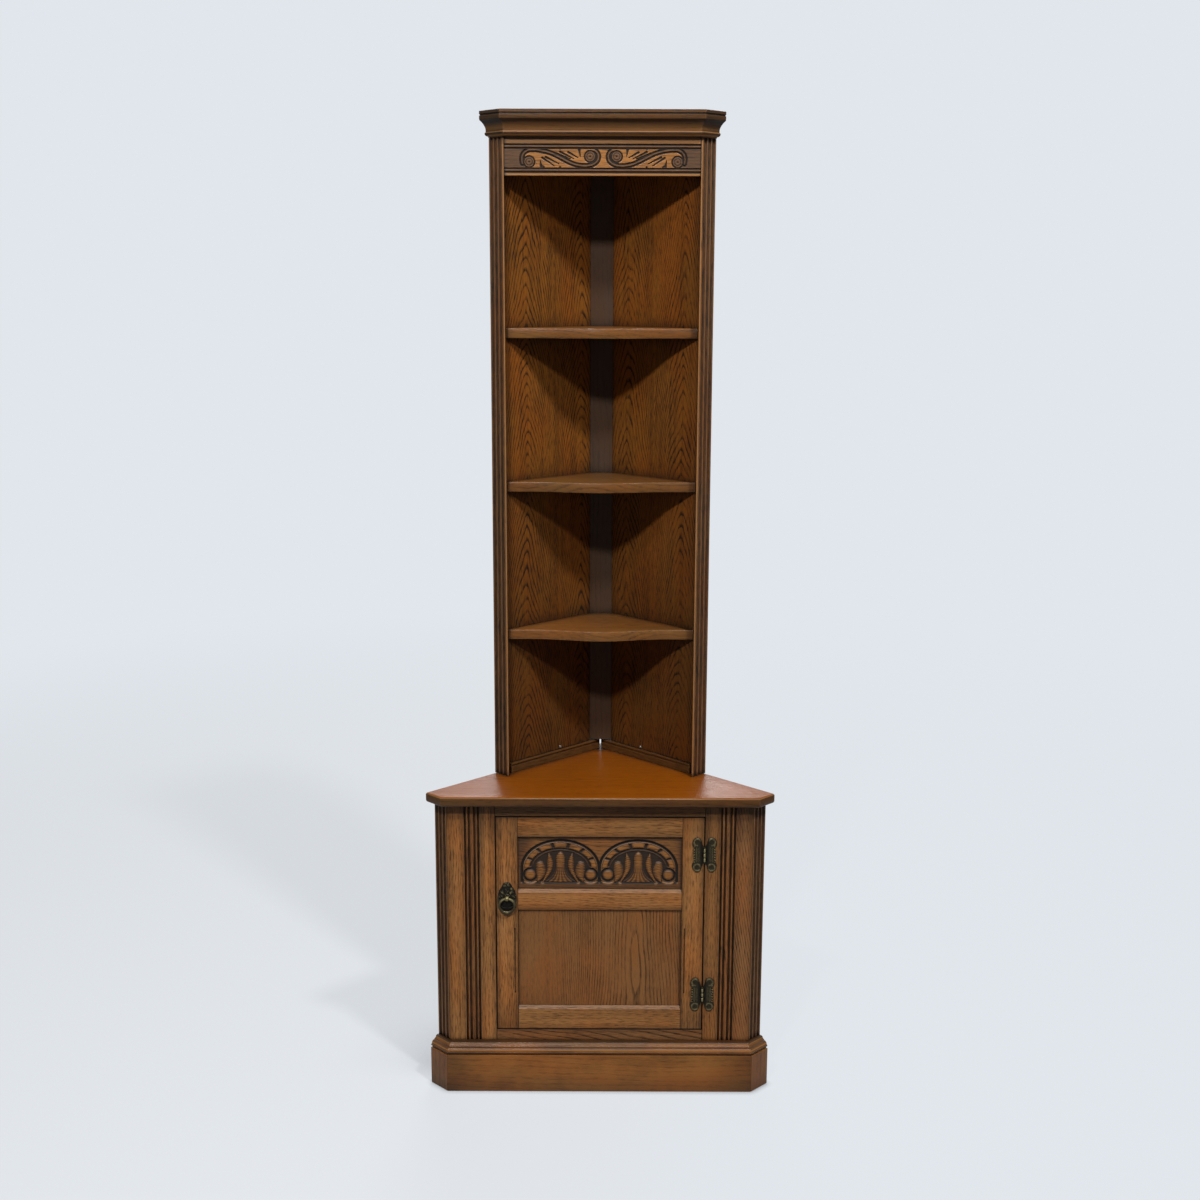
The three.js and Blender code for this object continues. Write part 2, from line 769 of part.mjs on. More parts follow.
function turnedAlongY(profile, sides) {
  const points = profile.map(([radius, depth]) => new THREE.Vector2(radius, depth));
  return new THREE.LatheGeometry(points, sides).translate(pullX, 0, pullPivotHeight);
}

function pullBore(back) {
  const radius = pullShankRadius + pullShankFit;
  const front = pullPlateFrontY - cutOverrun;
  return turnedAlongY([[0, front], [radius, front], [radius, back], [0, back]], turnedSides);
}

function pullPost() {
  const collarBack = pullCollarFrontY + pullCollarThickness;
  const profile = [];
  const last = Math.acos(pullNeck / pullBallRadius);
  for (let step = 0; step <= pullBallSteps; step += 1) {
    const turn = Math.PI - (Math.PI - last) * step / pullBallSteps;
    profile.push([pullBallRadius * Math.sin(turn), pullPivotY + pullBallRadius * Math.cos(turn)]);
  }
  profile[0][0] = 0;
  const shankEnd = doorBackY + glueGap + pullNutThickness + pullShankEnd;
  profile.push([pullCollarRadius, pullCollarFrontY], [pullCollarRadius, collarBack]);
  profile.push([pullShankRadius, collarBack], [pullShankRadius, shankEnd], [0, shankEnd]);
  const post = turnedAlongY(profile, turnedSides);
  const eyeRadius = pullWireRadius + pullEyeFit;
  const eyeHalf = pullBallRadius + cutOverrun;
  const eye = new THREE.CylinderGeometry(eyeRadius, eyeRadius, eyeHalf * 2, turnedSides);
  eye.rotateZ(Math.PI * halfShare).translate(pullX, pullPivotY, pullPivotHeight);
  return cut(post, eye);
}

function addPull() {
  const rightHalf = pullPlateShares.map(([out, up]) => [
    (out - halfShare) * pullPlateWidth,
    pullPlateBase + up * pullPlateHeight,
  ]);
  const points = symmetric(rightHalf).map(([x, z]) => [x + pullX, z]);
  const plate = facePlate(points, pullPlateFrontY, carcassFrontY - glueGap);
  add('pull_backplate', 'antiqueBrass', cut(plate, pullBore(doorBackY)));
  add('pull_post', 'brass', pullPost());

  const ring = new THREE.TorusGeometry(pullRingRadius, pullWireRadius, wireSides, ringSegments);
  ring.rotateX(Math.PI * halfShare).translate(pullX, pullPivotY, pullPivotHeight - pullRingRadius);
  add('pull_ring', 'antiqueBrass', ring);

  const nutFront = doorBackY + glueGap;
  const nutBack = nutFront + pullNutThickness;
  const nutProfile = [[0, nutFront], [pullNutRadius, nutFront], [pullNutRadius, nutBack], [0, nutBack]];
  const nut = turnedAlongY(nutProfile, nutSides);
  add('pull_nut', 'brass', cut(nut, pullBore(nutBack + cutOverrun)));
}

// Catch behind the lock stile, and the strike on the back of the door
function addCatch() {
  const frameBack = carcassFrontY + frameThickness + glueGap;
  const fixLow = -openingHalfWidth - catchFixWidth;
  const fixHigh = -openingHalfWidth;
  const reach = -openingHalfWidth + catchReach;
  const strikeFront = doorBackY + glueGap;
  const strikeBack = strikeFront + strikeThickness;
  const standFront = strikeBack + catchGap;
  const points = [
    [fixLow, frameBack],
    [fixHigh, frameBack],
    [fixHigh, standFront],
    [reach, standFront],
    [reach, standFront + catchDepth],
    [fixLow, standFront + catchDepth],
  ];
  const top = doorTop - catchDrop;
  const bottom = top - catchHeight;
  add('catch_body', 'darkPlastic', upright(points, bottom, top));
  add('catch_strike', 'steel', block(
    [reach - strikeWidth, strikeFront, bottom],
    [reach, strikeBack, top],
  ));
}

// Upper part

function addUpperPosts() {
  const corners = cantedCorners(upperWidth, upperSetback);
  const innerX = corners.front[0] - upperPostLip;
  const back = alongWall(wallLength(corners) - upperPostThickness, 0);
  const points = [
    ...flutedFace(corners.front, corners.wall, fluteCount, fluteWidth, fluteDepth),
    back,
    [innerX, back[1] - (back[0] - innerX)],
    [innerX, corners.front[1]],
  ];
  addPair('upper_post', 'oakDark', points, upperBase, upperTop);
}

function addUpperBack() {
  const corners = cantedCorners(upperWidth, upperSetback);
  const panelPoints = backPanelPoints(corners, upperPostThickness);
  const panelBase = upperBase + baseRailHeight + glueGap;
  addPair('upper_back_panel', 'oakPanel', panelPoints, panelBase, upperTop);
  const postBase = upperBase + baseRailHeight + cornerPostGap;
  add('upper_corner_post', 'oakDark', upright(cornerPostPoints(), postBase, upperTop));

  const topPoints = symmetric([corners.front, corners.wall, [0, cornerY]]);
  const topBase = upperTop + glueGap;
  add('upper_top', 'oakPanel', upright(topPoints, topBase, topBase + upperTopThickness));
}

// Two rails stand on the board along the walls; the panels stand on them
function addBaseRails() {
  const corners = cantedCorners(upperWidth, upperSetback);
  const end = wallLength(corners) - upperPostThickness - glueGap;
  const face = baseRailInset + baseRailThickness;
  const start = baseRailMitreGap * halfShare / diagonalShare;
  const top = upperBase + baseRailHeight;
  const grooveTop = top - baseRailGrooveDrop;
  const points = (inset) => [
    alongWall(start + baseRailInset, baseRailInset),
    alongWall(end, baseRailInset),
    alongWall(end, inset),
    alongWall(start + inset, inset),
  ];
  const grooveDeep = face - baseRailGrooveDepth;
  const groove = [
    alongWall(start, grooveDeep),
    alongWall(end + cutOverrun, grooveDeep),
    alongWall(end + cutOverrun, face + cutOverrun),
    alongWall(start, face + cutOverrun),
  ];
  for (const [side, flip] of [['right', (list) => list], ['left', mirrored]]) {
    const rail = upright(flip(points(face)), upperBase, top);
    const channel = upright(flip(groove), grooveTop - baseRailGroove, grooveTop);
    add(`base_rail_${side}`, 'oak', cut(rail, channel));
  }
}

function addFrieze() {
  const corners = cantedCorners(upperWidth, upperSetback);
  const half = corners.front[0] - upperPostLip - glueGap;
  const section = [[0, friezeBase], [0, friezeBase + friezeBottomBand]];
  pushBead(section, friezeBase + friezeBottomBand);
  pushBead(section, upperTop - friezeTopBand - friezeGroove * 2 - friezeBead);
  section.push([0, upperTop], [-friezeThickness, upperTop], [-friezeThickness, friezeBase]);
  add('frieze_rail', 'oak', run(section, [half, corners.front[1]], [-half, corners.front[1]]));
}

// A round bead between two grooves, from the level given upwards
function pushBead(section, base) {
  const low = base + friezeGroove;
  const radius = friezeBead * halfShare;
  section.push([-friezeGrooveDepth, base], [-friezeGrooveDepth, low]);
  for (let step = 1; step < friezeBeadSteps; step += 1) {
    const turn = Math.PI * step / friezeBeadSteps;
    section.push([
      -friezeGrooveDepth + friezeGrooveDepth * Math.sin(turn),
      low + radius - radius * Math.cos(turn),
    ]);
  }
  const high = low + friezeBead;
  const end = high + friezeGroove;
  section.push([-friezeGrooveDepth, high], [-friezeGrooveDepth, end], [0, end]);
}

function addCornice() {
  const seat = cantedCorners(upperWidth, corniceSetback);
  const base = upperTop + glueGap;
  const height = corniceHeight - glueGap;
  const face = corniceShares.map(([out, up]) => [out * corniceProjection, base + up * height]);
  const section = (back) => [...face, [back, base + height], [back, base]];
  addRuns('cornice', 'oak', seat, section(corniceSetback - upperSetback + glueGap), section(glueGap));
}

function shelfPoints() {
  const corners = cantedCorners(upperWidth, upperSetback);
  const half = corners.front[0] - upperPostLip - glueGap;
  const post = cornerPostFace * halfShare;
  const endY = upperFrontY + shelfEndRecess;
  const bowHalf = half - shelfStraightLength;
  const front = [];
  for (let step = 0; step <= shelfBowSteps; step += 1) {
    const travel = step / shelfBowSteps * 2 - 1;
    const rise = halfShare * (1 + Math.cos(Math.PI * travel));
    front.push([bowHalf * travel, endY - shelfBow * rise]);
  }
  return [
    [-half, endY],
    ...front,
    [half, endY],
    [half, panelFaceY(half)],
    [post, panelFaceY(post)],
    [-post, panelFaceY(post)],
    [-half, panelFaceY(half)],
  ];
}

function addShelves() {
  const names = ['lower', 'middle', 'upper'];
  shelfHeightShares.forEach((share, index) => {
    const top = boardTopHeight + (topShelfHeight - boardTopHeight) * share;
    add(`shelf_${names[index]}`, 'oak', roundedBoard(
      shelfPoints(), top - shelfThickness, shelfThickness, shelfEdgeRound, shelfEdgeSteps,
    ));
  });
}

function addPanelScrews() {
  const height = upperBase + baseRailHeight + screwRise;
  const place = alongWall(screwDistance, panelFace);
  const profile = [
    new THREE.Vector2(0, glueGap),
    new THREE.Vector2(screwHeadRadius, glueGap),
    new THREE.Vector2(screwHeadRadius * diagonalShare, screwHeadThickness * diagonalShare),
    new THREE.Vector2(0, screwHeadThickness),
  ];
  for (const [name, side] of [['panel_screw_left', -1], ['panel_screw_right', 1]]) {
    const screw = new THREE.LatheGeometry(profile, screwSides);
    screw.rotateZ(side * Math.PI * 3 / 4).translate(side * place[0], place[1], height);
    add(name, 'steel', screw);
  }
}

addPlinth();
addLowerFrame();
addLowerBack();
addLowerShelves();
addTopBoard();
addDoor();
addHinges();
addPull();
addCatch();
addUpperPosts();
addUpperBack();
addBaseRails();
addFrieze();
addCornice();
addShelves();
addPanelScrews();

export default cupboard;
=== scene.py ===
import math

import bpy
import numpy as np
from mathutils import Matrix, Vector


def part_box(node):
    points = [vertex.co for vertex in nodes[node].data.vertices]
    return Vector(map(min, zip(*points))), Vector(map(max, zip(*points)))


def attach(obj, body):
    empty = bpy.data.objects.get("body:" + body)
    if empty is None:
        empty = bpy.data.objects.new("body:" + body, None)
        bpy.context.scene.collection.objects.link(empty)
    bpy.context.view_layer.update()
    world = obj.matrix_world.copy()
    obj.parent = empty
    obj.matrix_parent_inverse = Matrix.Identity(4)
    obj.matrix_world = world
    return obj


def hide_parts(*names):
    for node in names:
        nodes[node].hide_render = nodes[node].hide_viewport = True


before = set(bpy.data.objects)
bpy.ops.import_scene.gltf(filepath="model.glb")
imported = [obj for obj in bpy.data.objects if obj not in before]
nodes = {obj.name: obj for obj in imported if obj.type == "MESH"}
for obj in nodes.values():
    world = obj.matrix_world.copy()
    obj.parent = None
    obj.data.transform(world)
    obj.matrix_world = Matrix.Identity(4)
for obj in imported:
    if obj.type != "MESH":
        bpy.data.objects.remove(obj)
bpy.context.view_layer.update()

MM = 0.001

# Camera: the photograph's viewing angle, for a square picture
CAMERA_PLACE = (-0.0017, -2.9493, 1.5316)
CAMERA_TILT = math.radians(78.617)
CAMERA_ROLL = math.radians(0.2)
CAMERA_LENS = 46.53
SENSOR_WIDTH = 36.0

# Directions in which the boards lie: along the grain, across it and through the board
FRONT_UPRIGHT = ((0, 0, 1), (1, 0, 0), (0, 1, 0))
FRONT_LEVEL = ((1, 0, 0), (0, 0, 1), (0, 1, 0))
LYING = ((1, 0, 0), (0, 1, 0), (0, 0, 1))
DIAGONAL = math.sqrt(0.5)


def towards(x, y):
    return (x * DIAGONAL, y * DIAGONAL, 0)


RIGHT_CANT_LEVEL = LEFT_WALL_LEVEL = (towards(1, 1), (0, 0, 1), towards(-1, 1))
LEFT_CANT_LEVEL = RIGHT_WALL_LEVEL = (towards(1, -1), (0, 0, 1), towards(1, 1))
RIGHT_CANT_UPRIGHT = LEFT_WALL_UPRIGHT = ((0, 0, 1), towards(1, 1), towards(-1, 1))
LEFT_CANT_UPRIGHT = RIGHT_WALL_UPRIGHT = ((0, 0, 1), towards(1, -1), towards(1, 1))


def linear(red, green, blue):
    """A colour given as 0 to 255 on screen, as the linear values that the shaders take."""
    shares = [value / 255 for value in (red, green, blue)]
    return tuple(s / 12.92 if s <= 0.04045 else ((s + 0.055) / 1.055) ** 2.4 for s in shares) + (1.0,)


# Materials

BUMP_DEPTH = 0.0002


class Shader:
    """The nodes of a material or world under construction, with short ways to add and link them."""

    def __init__(self, owner):
        owner.use_nodes = True
        self.owner = owner
        self.tree = owner.node_tree
        self.tree.nodes.clear()

    def add(self, kind, inputs=None, **settings):
        node = self.tree.nodes.new(kind)
        for key, value in settings.items():
            setattr(node, key, value)
        for key, value in (inputs or {}).items():
            socket = node.inputs[key]
            if isinstance(value, bpy.types.NodeSocket):
                self.tree.links.new(value, socket)
            else:
                socket.default_value = value
        return node

    def place(self):
        return self.add("ShaderNodeTexCoord").outputs["Object"]

    def split(self, vector):
        return self.add("ShaderNodeSeparateXYZ", {0: vector}).outputs

    def length(self, vector):
        return self.add("ShaderNodeVectorMath", {0: vector}, operation="LENGTH").outputs["Value"]

    def math(self, operation, first, second=0.0, third=0.0, clamp=False):
        inputs = {0: first, 1: second, 2: third}
        return self.add("ShaderNodeMath", inputs, operation=operation, use_clamp=clamp).outputs[0]

    def times(self, first, second):
        return self.math("MULTIPLY", first, second)

    def away(self, value, position):
        """How far the value is from a position, on either side."""
        return self.math("ABSOLUTE", self.math("SUBTRACT", value, position))

    def noise(self, vector, scale, detail=2.0, roughness=0.5):
        inputs = {"Vector": vector, "Scale": scale, "Detail": detail, "Roughness": roughness}
        return self.add("ShaderNodeTexNoise", inputs).outputs[0]

    def drawn_out(self, grain, length, *look):
        inputs = {0: grain, 1: (1, 1, length)}
        return self.noise(self.add("ShaderNodeVectorMath", inputs, operation="MULTIPLY").outputs[0], *look)

    def range(self, value, low, high, to_low=0.0, to_high=1.0):
        inputs = {0: value, 1: low, 2: high, 3: to_low, 4: to_high}
        return self.add("ShaderNodeMapRange", inputs, interpolation_type="SMOOTHSTEP").outputs[0]

    def mix(self, share, first, second):
        inputs = {0: share, 6: first, 7: second}
        return self.add("ShaderNodeMix", inputs, data_type="RGBA").outputs[2]

    def attribute(self, name):
        return self.add("ShaderNodeAttribute", attribute_name=name).outputs["Fac"]

    def cavity(self, reach, samples=4):
        return self.add("ShaderNodeAmbientOcclusion", {"Distance": reach}, samples=samples).outputs["AO"]

    def bump(self, height, strength, invert=False):
        inputs = {"Height": height, "Strength": strength, "Distance": BUMP_DEPTH}
        return self.add("ShaderNodeBump", inputs, invert=invert).outputs[0]

    def finish(self, inputs):
        surface = self.add("ShaderNodeBsdfPrincipled", inputs)
        self.add("ShaderNodeOutputMaterial", {"Surface": surface.outputs[0]})
        return self.owner


# Wood finishes: light and dark of the grain, spacing of its lines, how strong its lines and its pores
# show, how far the painted shade and grime reach out of a hollow, how much the arrises are pale from
# use and painted with highlights, how much the board darkens towards its long edges, how rough, shiny
# and cloudy the surface is, and how readily the painted shade and grime fill a shallow hollow
FINISH_KEYS = (
    "light", "dark", "spacing", "ring", "pore", "hollow", "arris_wear_and_highlight", "rim", "rough", "shine", "cloud", "deep",
)
FINISHES = {
    "front": ((149, 103, 59), (59, 37, 19), 0.0052, 0.3, 0.95, 0.01, 0.3, 0.34, 0.36, 0.26, 0.24, 0.0),
    "figured": ((142, 98, 60), (50, 34, 20), 0.0085, 0.75, 0.8, 0.01, 0.3, 0.3, 0.36, 0.26, 0.24, 0.0),
    "plinth": ((144, 94, 43), (70, 43, 20), 0.012, 0.22, 0.45, 0.0015, 0.2, 0.0, 0.34, 0.35, 0.6, 0.0),
    "dark": ((138, 94, 56), (44, 29, 18), 0.0052, 0.45, 0.9, 0.01, 0.4, 0.0, 0.42, 0.26, 0.24, 0.0),
    "flute": ((128, 90, 58), (42, 32, 25), 0.0052, 0.4, 0.9, 0.012, 0.42, 0.0, 0.42, 0.24, 0.24, 0.38),
    "panel": ((129, 79, 27), (36, 21, 9), 0.0056, 0.8, 0.9, 0.04, 0.0, 0.25, 0.5, 0.2, 0.24, 0.0),
    "door_panel": ((138, 93, 52), (68, 43, 23), 0.0075, 0.8, 0.65, 0.022, 0.3, 0.4, 0.42, 0.28, 0.24, 0.0),
    "carving": ((132, 88, 46), (58, 38, 22), 0.0058, 0.55, 0.8, 0.012, 0.3, 0.0, 0.32, 0.42, 0.24, 0.0),
    "post": ((70, 54, 43), (44, 34, 27), 0.01, 0.2, 0.4, 0.02, 0.2, 0.0, 0.5, 0.12, 0.24, 0.0),
    "shelf": ((128, 86, 42), (62, 39, 18), 0.007, 0.35, 0.7, 0.03, 0.6, 0.0, 0.34, 0.32, 0.24, 0.0),
    "cornice": ((94, 63, 32), (38, 25, 13), 0.006, 0.35, 0.8, 0.003, 0.15, 0.0, 0.36, 0.3, 0.24, 0.0),
    "inside": ((112, 80, 48), (74, 50, 30), 0.01, 0.3, 0.4, 0.03, 0.2, 0.0, 0.6, 0.15, 0.24, 0.0),
}
# The dark colour of stained wood, also used for painted shade
STAIN_AND_SHADE_COLOUR = linear(20, 15, 11)
GOLD_LIGHT, GOLD_DARK = (172, 114, 54), (88, 54, 24)
ARCH_ROUNDING = 0.011
ARCH_POINT = 0.003
ARCH_FLANK = 0.45
ARCH_CURVE = 7.0
RIM_REACH = 0.012
EDGE_FADE = 0.004
ARRIS_REACH = 0.0022
# Pale colours: arrises pale from use and painted with highlights, painted glints, and painted highlights on
# carving
WORN_AND_HIGHLIGHT_COLOUR = linear(178, 128, 80)
PAINTED_GLINT_COLOUR = linear(184, 130, 74)
PAINTED_HIGHLIGHT_COLOUR = linear(186, 164, 142)
RUDDY_SHARES = (1.03, 0.95, 0.86)

# Noise in the wood: how far it is drawn out along the grain, its scale, detail and roughness
WARP = (0.3, 14.0, 2.0, 0.4)
FINE_WARP = (0.16, 80.0, 2.0, 0.5)
PORES = (0.1, 620.0, 2.0, 0.6)
STREAKS = (0.02, 150.0, 3.0, 0.6)
CLOUDS = (1.0, 9.0, 3.0, 0.6)
FAINTNESS = (0.4, 24.0, 2.0, 0.5)
RUDDINESS = (0.3, 18.0, 2.0, 0.5)


def toned(colour, tone):
    return linear(*(min(value * tone, 255) for value in colour))


def spans_of(node, directions):
    """Lowest and highest distance of a node's points along each direction."""
    points = [vertex.co for vertex in nodes[node].data.vertices]
    reach = []
    for way in directions:
        way = Vector(way)
        distances = [way.dot(point) for point in points]
        reach.append((min(distances), max(distances)))
    return reach


def oak(name, finish, directions, seed, tilt, spans=None, axes=None, carved=False, lines=(), glints=(),
        tone=1.0, top_colour=None, fade=None, ends=(0.0, 0.0)):
    """Oak with grain lines, pores, arrises pale from use and painted with highlights, and hollows stained dark
    and painted with shade.

    The grain follows the directions. Where axes are given, which are distances across the grain, its
    lines rise into pointed arches about them. Lines are dark: painted shade in gaps and mouldings, and dark
    joints. Glints are painted highlights. Each is an axis, a position on it, a reach and a strength, and
    for some lines the depth where they end. The fade darkens from one height to another, and the ends
    darken the board's ends by a strength, over a reach.
    """
    look = dict(zip(FINISH_KEYS, FINISHES[finish]))
    shader = Shader(bpy.data.materials.new(name))
    along, across, through = directions
    place = shader.place()
    parts = [
        shader.add("ShaderNodeVectorMath", {0: place, 1: way}, operation="DOT_PRODUCT").outputs["Value"]
        for way in (across, through, along)
    ]
    split = shader.split(place)
    measured = {"x": shader.math("ABSOLUTE", split["X"]), "z": split["Z"]}
    shifts = [0.37 * math.sin(12.9 * seed + 1.3 * way) for way in range(3)]
    moved = [shader.math("ADD", part, shift) for part, shift in zip(parts, shifts)]
    grain = shader.add("ShaderNodeCombineXYZ", dict(enumerate(moved))).outputs[0]

    warp = shader.drawn_out(grain, *WARP)
    spread = None
    for axis in axes or (0.09 * math.sin(7.7 * seed),):
        inputs = {0: shader.math("SUBTRACT", parts[0], axis), 1: ARCH_POINT if axes else ARCH_ROUNDING}
        away = shader.length(shader.add("ShaderNodeCombineXYZ", inputs).outputs[0])
        if axes:
            away = shader.times(away, shader.math("MULTIPLY_ADD", away, ARCH_CURVE, ARCH_FLANK))
        spread = away if spread is None else shader.math("MINIMUM", spread, away)
    fine_warp = shader.drawn_out(grain, *FINE_WARP)
    for value, share in ((parts[1], 0.6), (parts[2], tilt), (warp, 0.034), (fine_warp, 0.004)):
        spread = shader.math("MULTIPLY_ADD", value, share, spread)
    turn = shader.math("FRACT", shader.math("DIVIDE", spread, look["spacing"]))
    ring = shader.math("MAXIMUM", shader.range(turn, 0.36, 0.0), shader.range(turn, 0.88, 1.0))

    pores = shader.range(shader.drawn_out(grain, *PORES), 0.45, 0.62)
    streak = shader.range(shader.drawn_out(grain, *STREAKS), 0.36, 0.66)
    cloud = shader.range(shader.drawn_out(grain, *CLOUDS), 0.3, 0.7)
    faint = shader.range(shader.drawn_out(grain, *FAINTNESS), 0.35, 0.62, 0.35, 1.0)
    ruddy = shader.range(shader.drawn_out(grain, *RUDDINESS), 0.35, 0.65)
    pore_share = shader.range(ring, 0.0, 1.0, look["pore"] * 0.42, look["pore"] * 0.62)
    rings = shader.times(ring, shader.times(faint, look["ring"]))
    shade = shader.math("ADD", rings, shader.times(pores, pore_share))
    shade = shader.math("MULTIPLY_ADD", streak, 0.3 * look["pore"], shade)
    shade = shader.math("MULTIPLY_ADD", cloud, look["cloud"], shade)
    shade = shader.math("SUBTRACT", shade, 0.2, clamp=True)
    redder = [value * share for value, share in zip(look["light"], RUDDY_SHARES)]
    bright = shader.mix(ruddy, toned(look["light"], tone), toned(redder, tone))
    colour = shader.mix(shade, bright, toned(look["dark"], tone))
    if top_colour:
        level, light, dark = top_colour
        upper = shader.mix(shade, linear(*light), linear(*dark))
        colour = shader.mix(shader.range(measured["z"], level - 0.0016, level - 0.0006), colour, upper)

    # Painted shade with some grime: hollows and inner corners darken by ambient occlusion
    hollow = shader.cavity(look["hollow"])
    if carved:
        golden = shader.mix(shade, linear(*GOLD_LIGHT), linear(*GOLD_DARK))
        colour = shader.mix(shader.attribute("warm"), colour, golden)
        # Painted highlights on the carving
        colour = shader.mix(shader.attribute("painted_carving_highlight"), colour, PAINTED_HIGHLIGHT_COLOUR)
        kept = shader.math("SUBTRACT", 1.0, shader.attribute("stain"))
        kept = shader.times(kept, shader.range(hollow, 0.2, 0.95, 0.45, 1.0))
    else:
        kept = shader.range(hollow, 0.2 + look["deep"], 0.92 + 0.1 * look["deep"], 0.04, 1.0)
    # Arrises pale from use and painted with highlights, found by ambient occlusion inside the solid
    if look["arris_wear_and_highlight"]:
        arris = shader.add("ShaderNodeAmbientOcclusion", {"Distance": ARRIS_REACH}, samples=4, inside=True)
        worn_and_highlighted_arris = shader.range(arris.outputs["AO"], 0.9, 0.45, 0.0, look["arris_wear_and_highlight"])
        colour = shader.mix(worn_and_highlighted_arris, colour, WORN_AND_HIGHLIGHT_COLOUR)
    # Dark lines: painted shade in gaps and mouldings, and dark joints
    for axis, position, reach, strength, *behind in lines:
        line = shader.range(shader.away(measured[axis], position), reach * 0.3, reach, 1.0 - strength, 1.0)
        if behind:
            hidden = shader.range(split["Y"], behind[0], behind[0] + EDGE_FADE)
            line = shader.math("MAXIMUM", line, hidden)
        kept = shader.times(kept, line)
    # Glints: painted highlights along edges and mouldings
    for axis, position, reach, strength in glints:
        glint = shader.range(shader.away(measured[axis], position), reach, 0.0, 0.0, strength)
        colour = shader.mix(glint, colour, PAINTED_GLINT_COLOUR)
    if fade:
        kept = shader.times(kept, shader.range(measured["z"], *fade, 1.0))
    for part, span, strength, reach in ((parts[0], 1, look["rim"], RIM_REACH), (parts[2], 0, *ends)):
        if not strength or not spans:
            continue
        low, high = spans[span]
        inward = shader.math("MINIMUM", shader.math("SUBTRACT", part, low), shader.math("SUBTRACT", high, part))
        inward = shader.math("MULTIPLY_ADD", warp, reach, inward)
        kept = shader.times(kept, shader.range(inward, reach * 0.5, reach * 1.6, 1.0 - strength, 1.0))

    rough = shader.range(shade, 0.0, 1.0, look["rough"], look["rough"] + 0.14)
    if carved:
        rough = shader.math("MULTIPLY_ADD", shader.attribute("stain"), 0.4, rough)
    return shader.finish({
        "Base Color": shader.mix(kept, STAIN_AND_SHADE_COLOUR, colour),
        "Roughness": rough,
        "Normal": shader.bump(shader.math("MULTIPLY_ADD", ring, 0.4, pores), 0.35, invert=True),
        "Specular IOR Level": look["shine"],
    })


def metal(name, dark, bright, rough, reliefed=False):
    """Aged metal: dark in its hollows and bright from use on its edges, with painted shade and painted
    highlights where a relief's attributes carry them.
    """
    shader = Shader(bpy.data.materials.new(name))
    place = shader.place()
    patches = shader.range(shader.noise(place, 420.0, 4.0, 0.6), 0.35, 0.65)
    specks = shader.noise(place, 1800.0, 2.0)
    if reliefed:
        wear_and_highlight = shader.math("SUBTRACT", 1.0, shader.attribute("stain"))
    else:
        wear_and_highlight = shader.range(shader.cavity(0.004), 0.4, 1.0)
    wear_and_highlight = shader.times(wear_and_highlight, shader.range(patches, 0.0, 1.0, 0.45, 1.0))
    colour = shader.mix(wear_and_highlight, linear(*dark), linear(*bright))
    if reliefed:
        # Painted highlights
        colour = shader.mix(shader.attribute("painted_highlight"), colour, linear(172, 160, 112))
    return shader.finish({
        "Base Color": colour,
        "Metallic": 0.6,
        "Roughness": shader.range(patches, 0.0, 1.0, rough + 0.12, rough),
        "Normal": shader.bump(specks, 0.25),
    })


def moulded_plastic(name):
    shader = Shader(bpy.data.materials.new(name))
    grit = shader.noise(shader.place(), 1500.0, 3.0)
    return shader.finish({
        "Base Color": shader.mix(grit, linear(40, 31, 24), linear(54, 43, 34)),
        "Roughness": shader.range(grit, 0.3, 0.7, 0.42, 0.55),
        "Normal": shader.bump(grit, 0.2),
    })


# Softened edges on the carried-over solids

SMOOTH_ANGLE = math.radians(38)
BEVEL_ANGLE = math.radians(45)
WELD_DISTANCE = 1e-5


def softening_group():
    """Welds the split corners, and shades smooth across all but the sharp edges."""
    group = bpy.data.node_groups.new("soften", "GeometryNodeTree")
    for way in ("INPUT", "OUTPUT"):
        group.interface.new_socket("Geometry", in_out=way, socket_type="NodeSocketGeometry")
    start, bare, weld, faces, edges, end, angle, sharp = map(group.nodes.new, (
        "NodeGroupInput", "GeometryNodeRemoveAttribute", "GeometryNodeMergeByDistance",
        "GeometryNodeSetShadeSmooth", "GeometryNodeSetShadeSmooth", "NodeGroupOutput",
        "GeometryNodeInputMeshEdgeAngle", "FunctionNodeCompare",
    ))
    bare.inputs["Name"].default_value = "custom_normal"
    weld.inputs["Distance"].default_value = WELD_DISTANCE
    sharp.data_type = "FLOAT"
    sharp.operation = "GREATER_THAN"
    sharp.inputs[1].default_value = SMOOTH_ANGLE
    edges.domain = "EDGE"
    edges.inputs["Shade Smooth"].default_value = False
    for first, second in ((start, bare), (bare, weld), (weld, faces), (faces, edges), (edges, end)):
        group.links.new(first.outputs[0], second.inputs["Geometry"])
    group.links.new(angle.outputs[0], sharp.inputs[0])
    group.links.new(sharp.outputs[0], edges.inputs["Selection"])
    return group


SOFTENING = softening_group()


def soften(name, width):
    piece = nodes[name]
    piece.modifiers.new("weld", "NODES").node_group = SOFTENING
    if width:
        bevel = piece.modifiers.new("edges", "BEVEL")
        bevel.width = width
        bevel.segments = 2
        bevel.limit_method = "ANGLE"
        bevel.angle_limit = BEVEL_ANGLE
        bevel.harden_normals = True
        bevel.use_clamp_overlap = True


def dress(name, material, width=0.0008):
    slots = nodes[name].material_slots
    for slot in slots:
        slot.material = material
    soften(name, width)


def levels(low, *rows):
    """Level lines or glints, each given by its height above the low edge, its reach and strength."""
    return tuple(("z", low + height, reach, strength) for height, reach, strength in rows)


DOOR_LOW, DOOR_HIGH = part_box("door_lock_stile")
DOOR_SIDE = -DOOR_LOW.x
DOOR_INNER = -DOOR_HIGH.x
EDGE_BACK = max(DOOR_LOW.y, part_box("frame_stile_left")[0].y) + 0.001
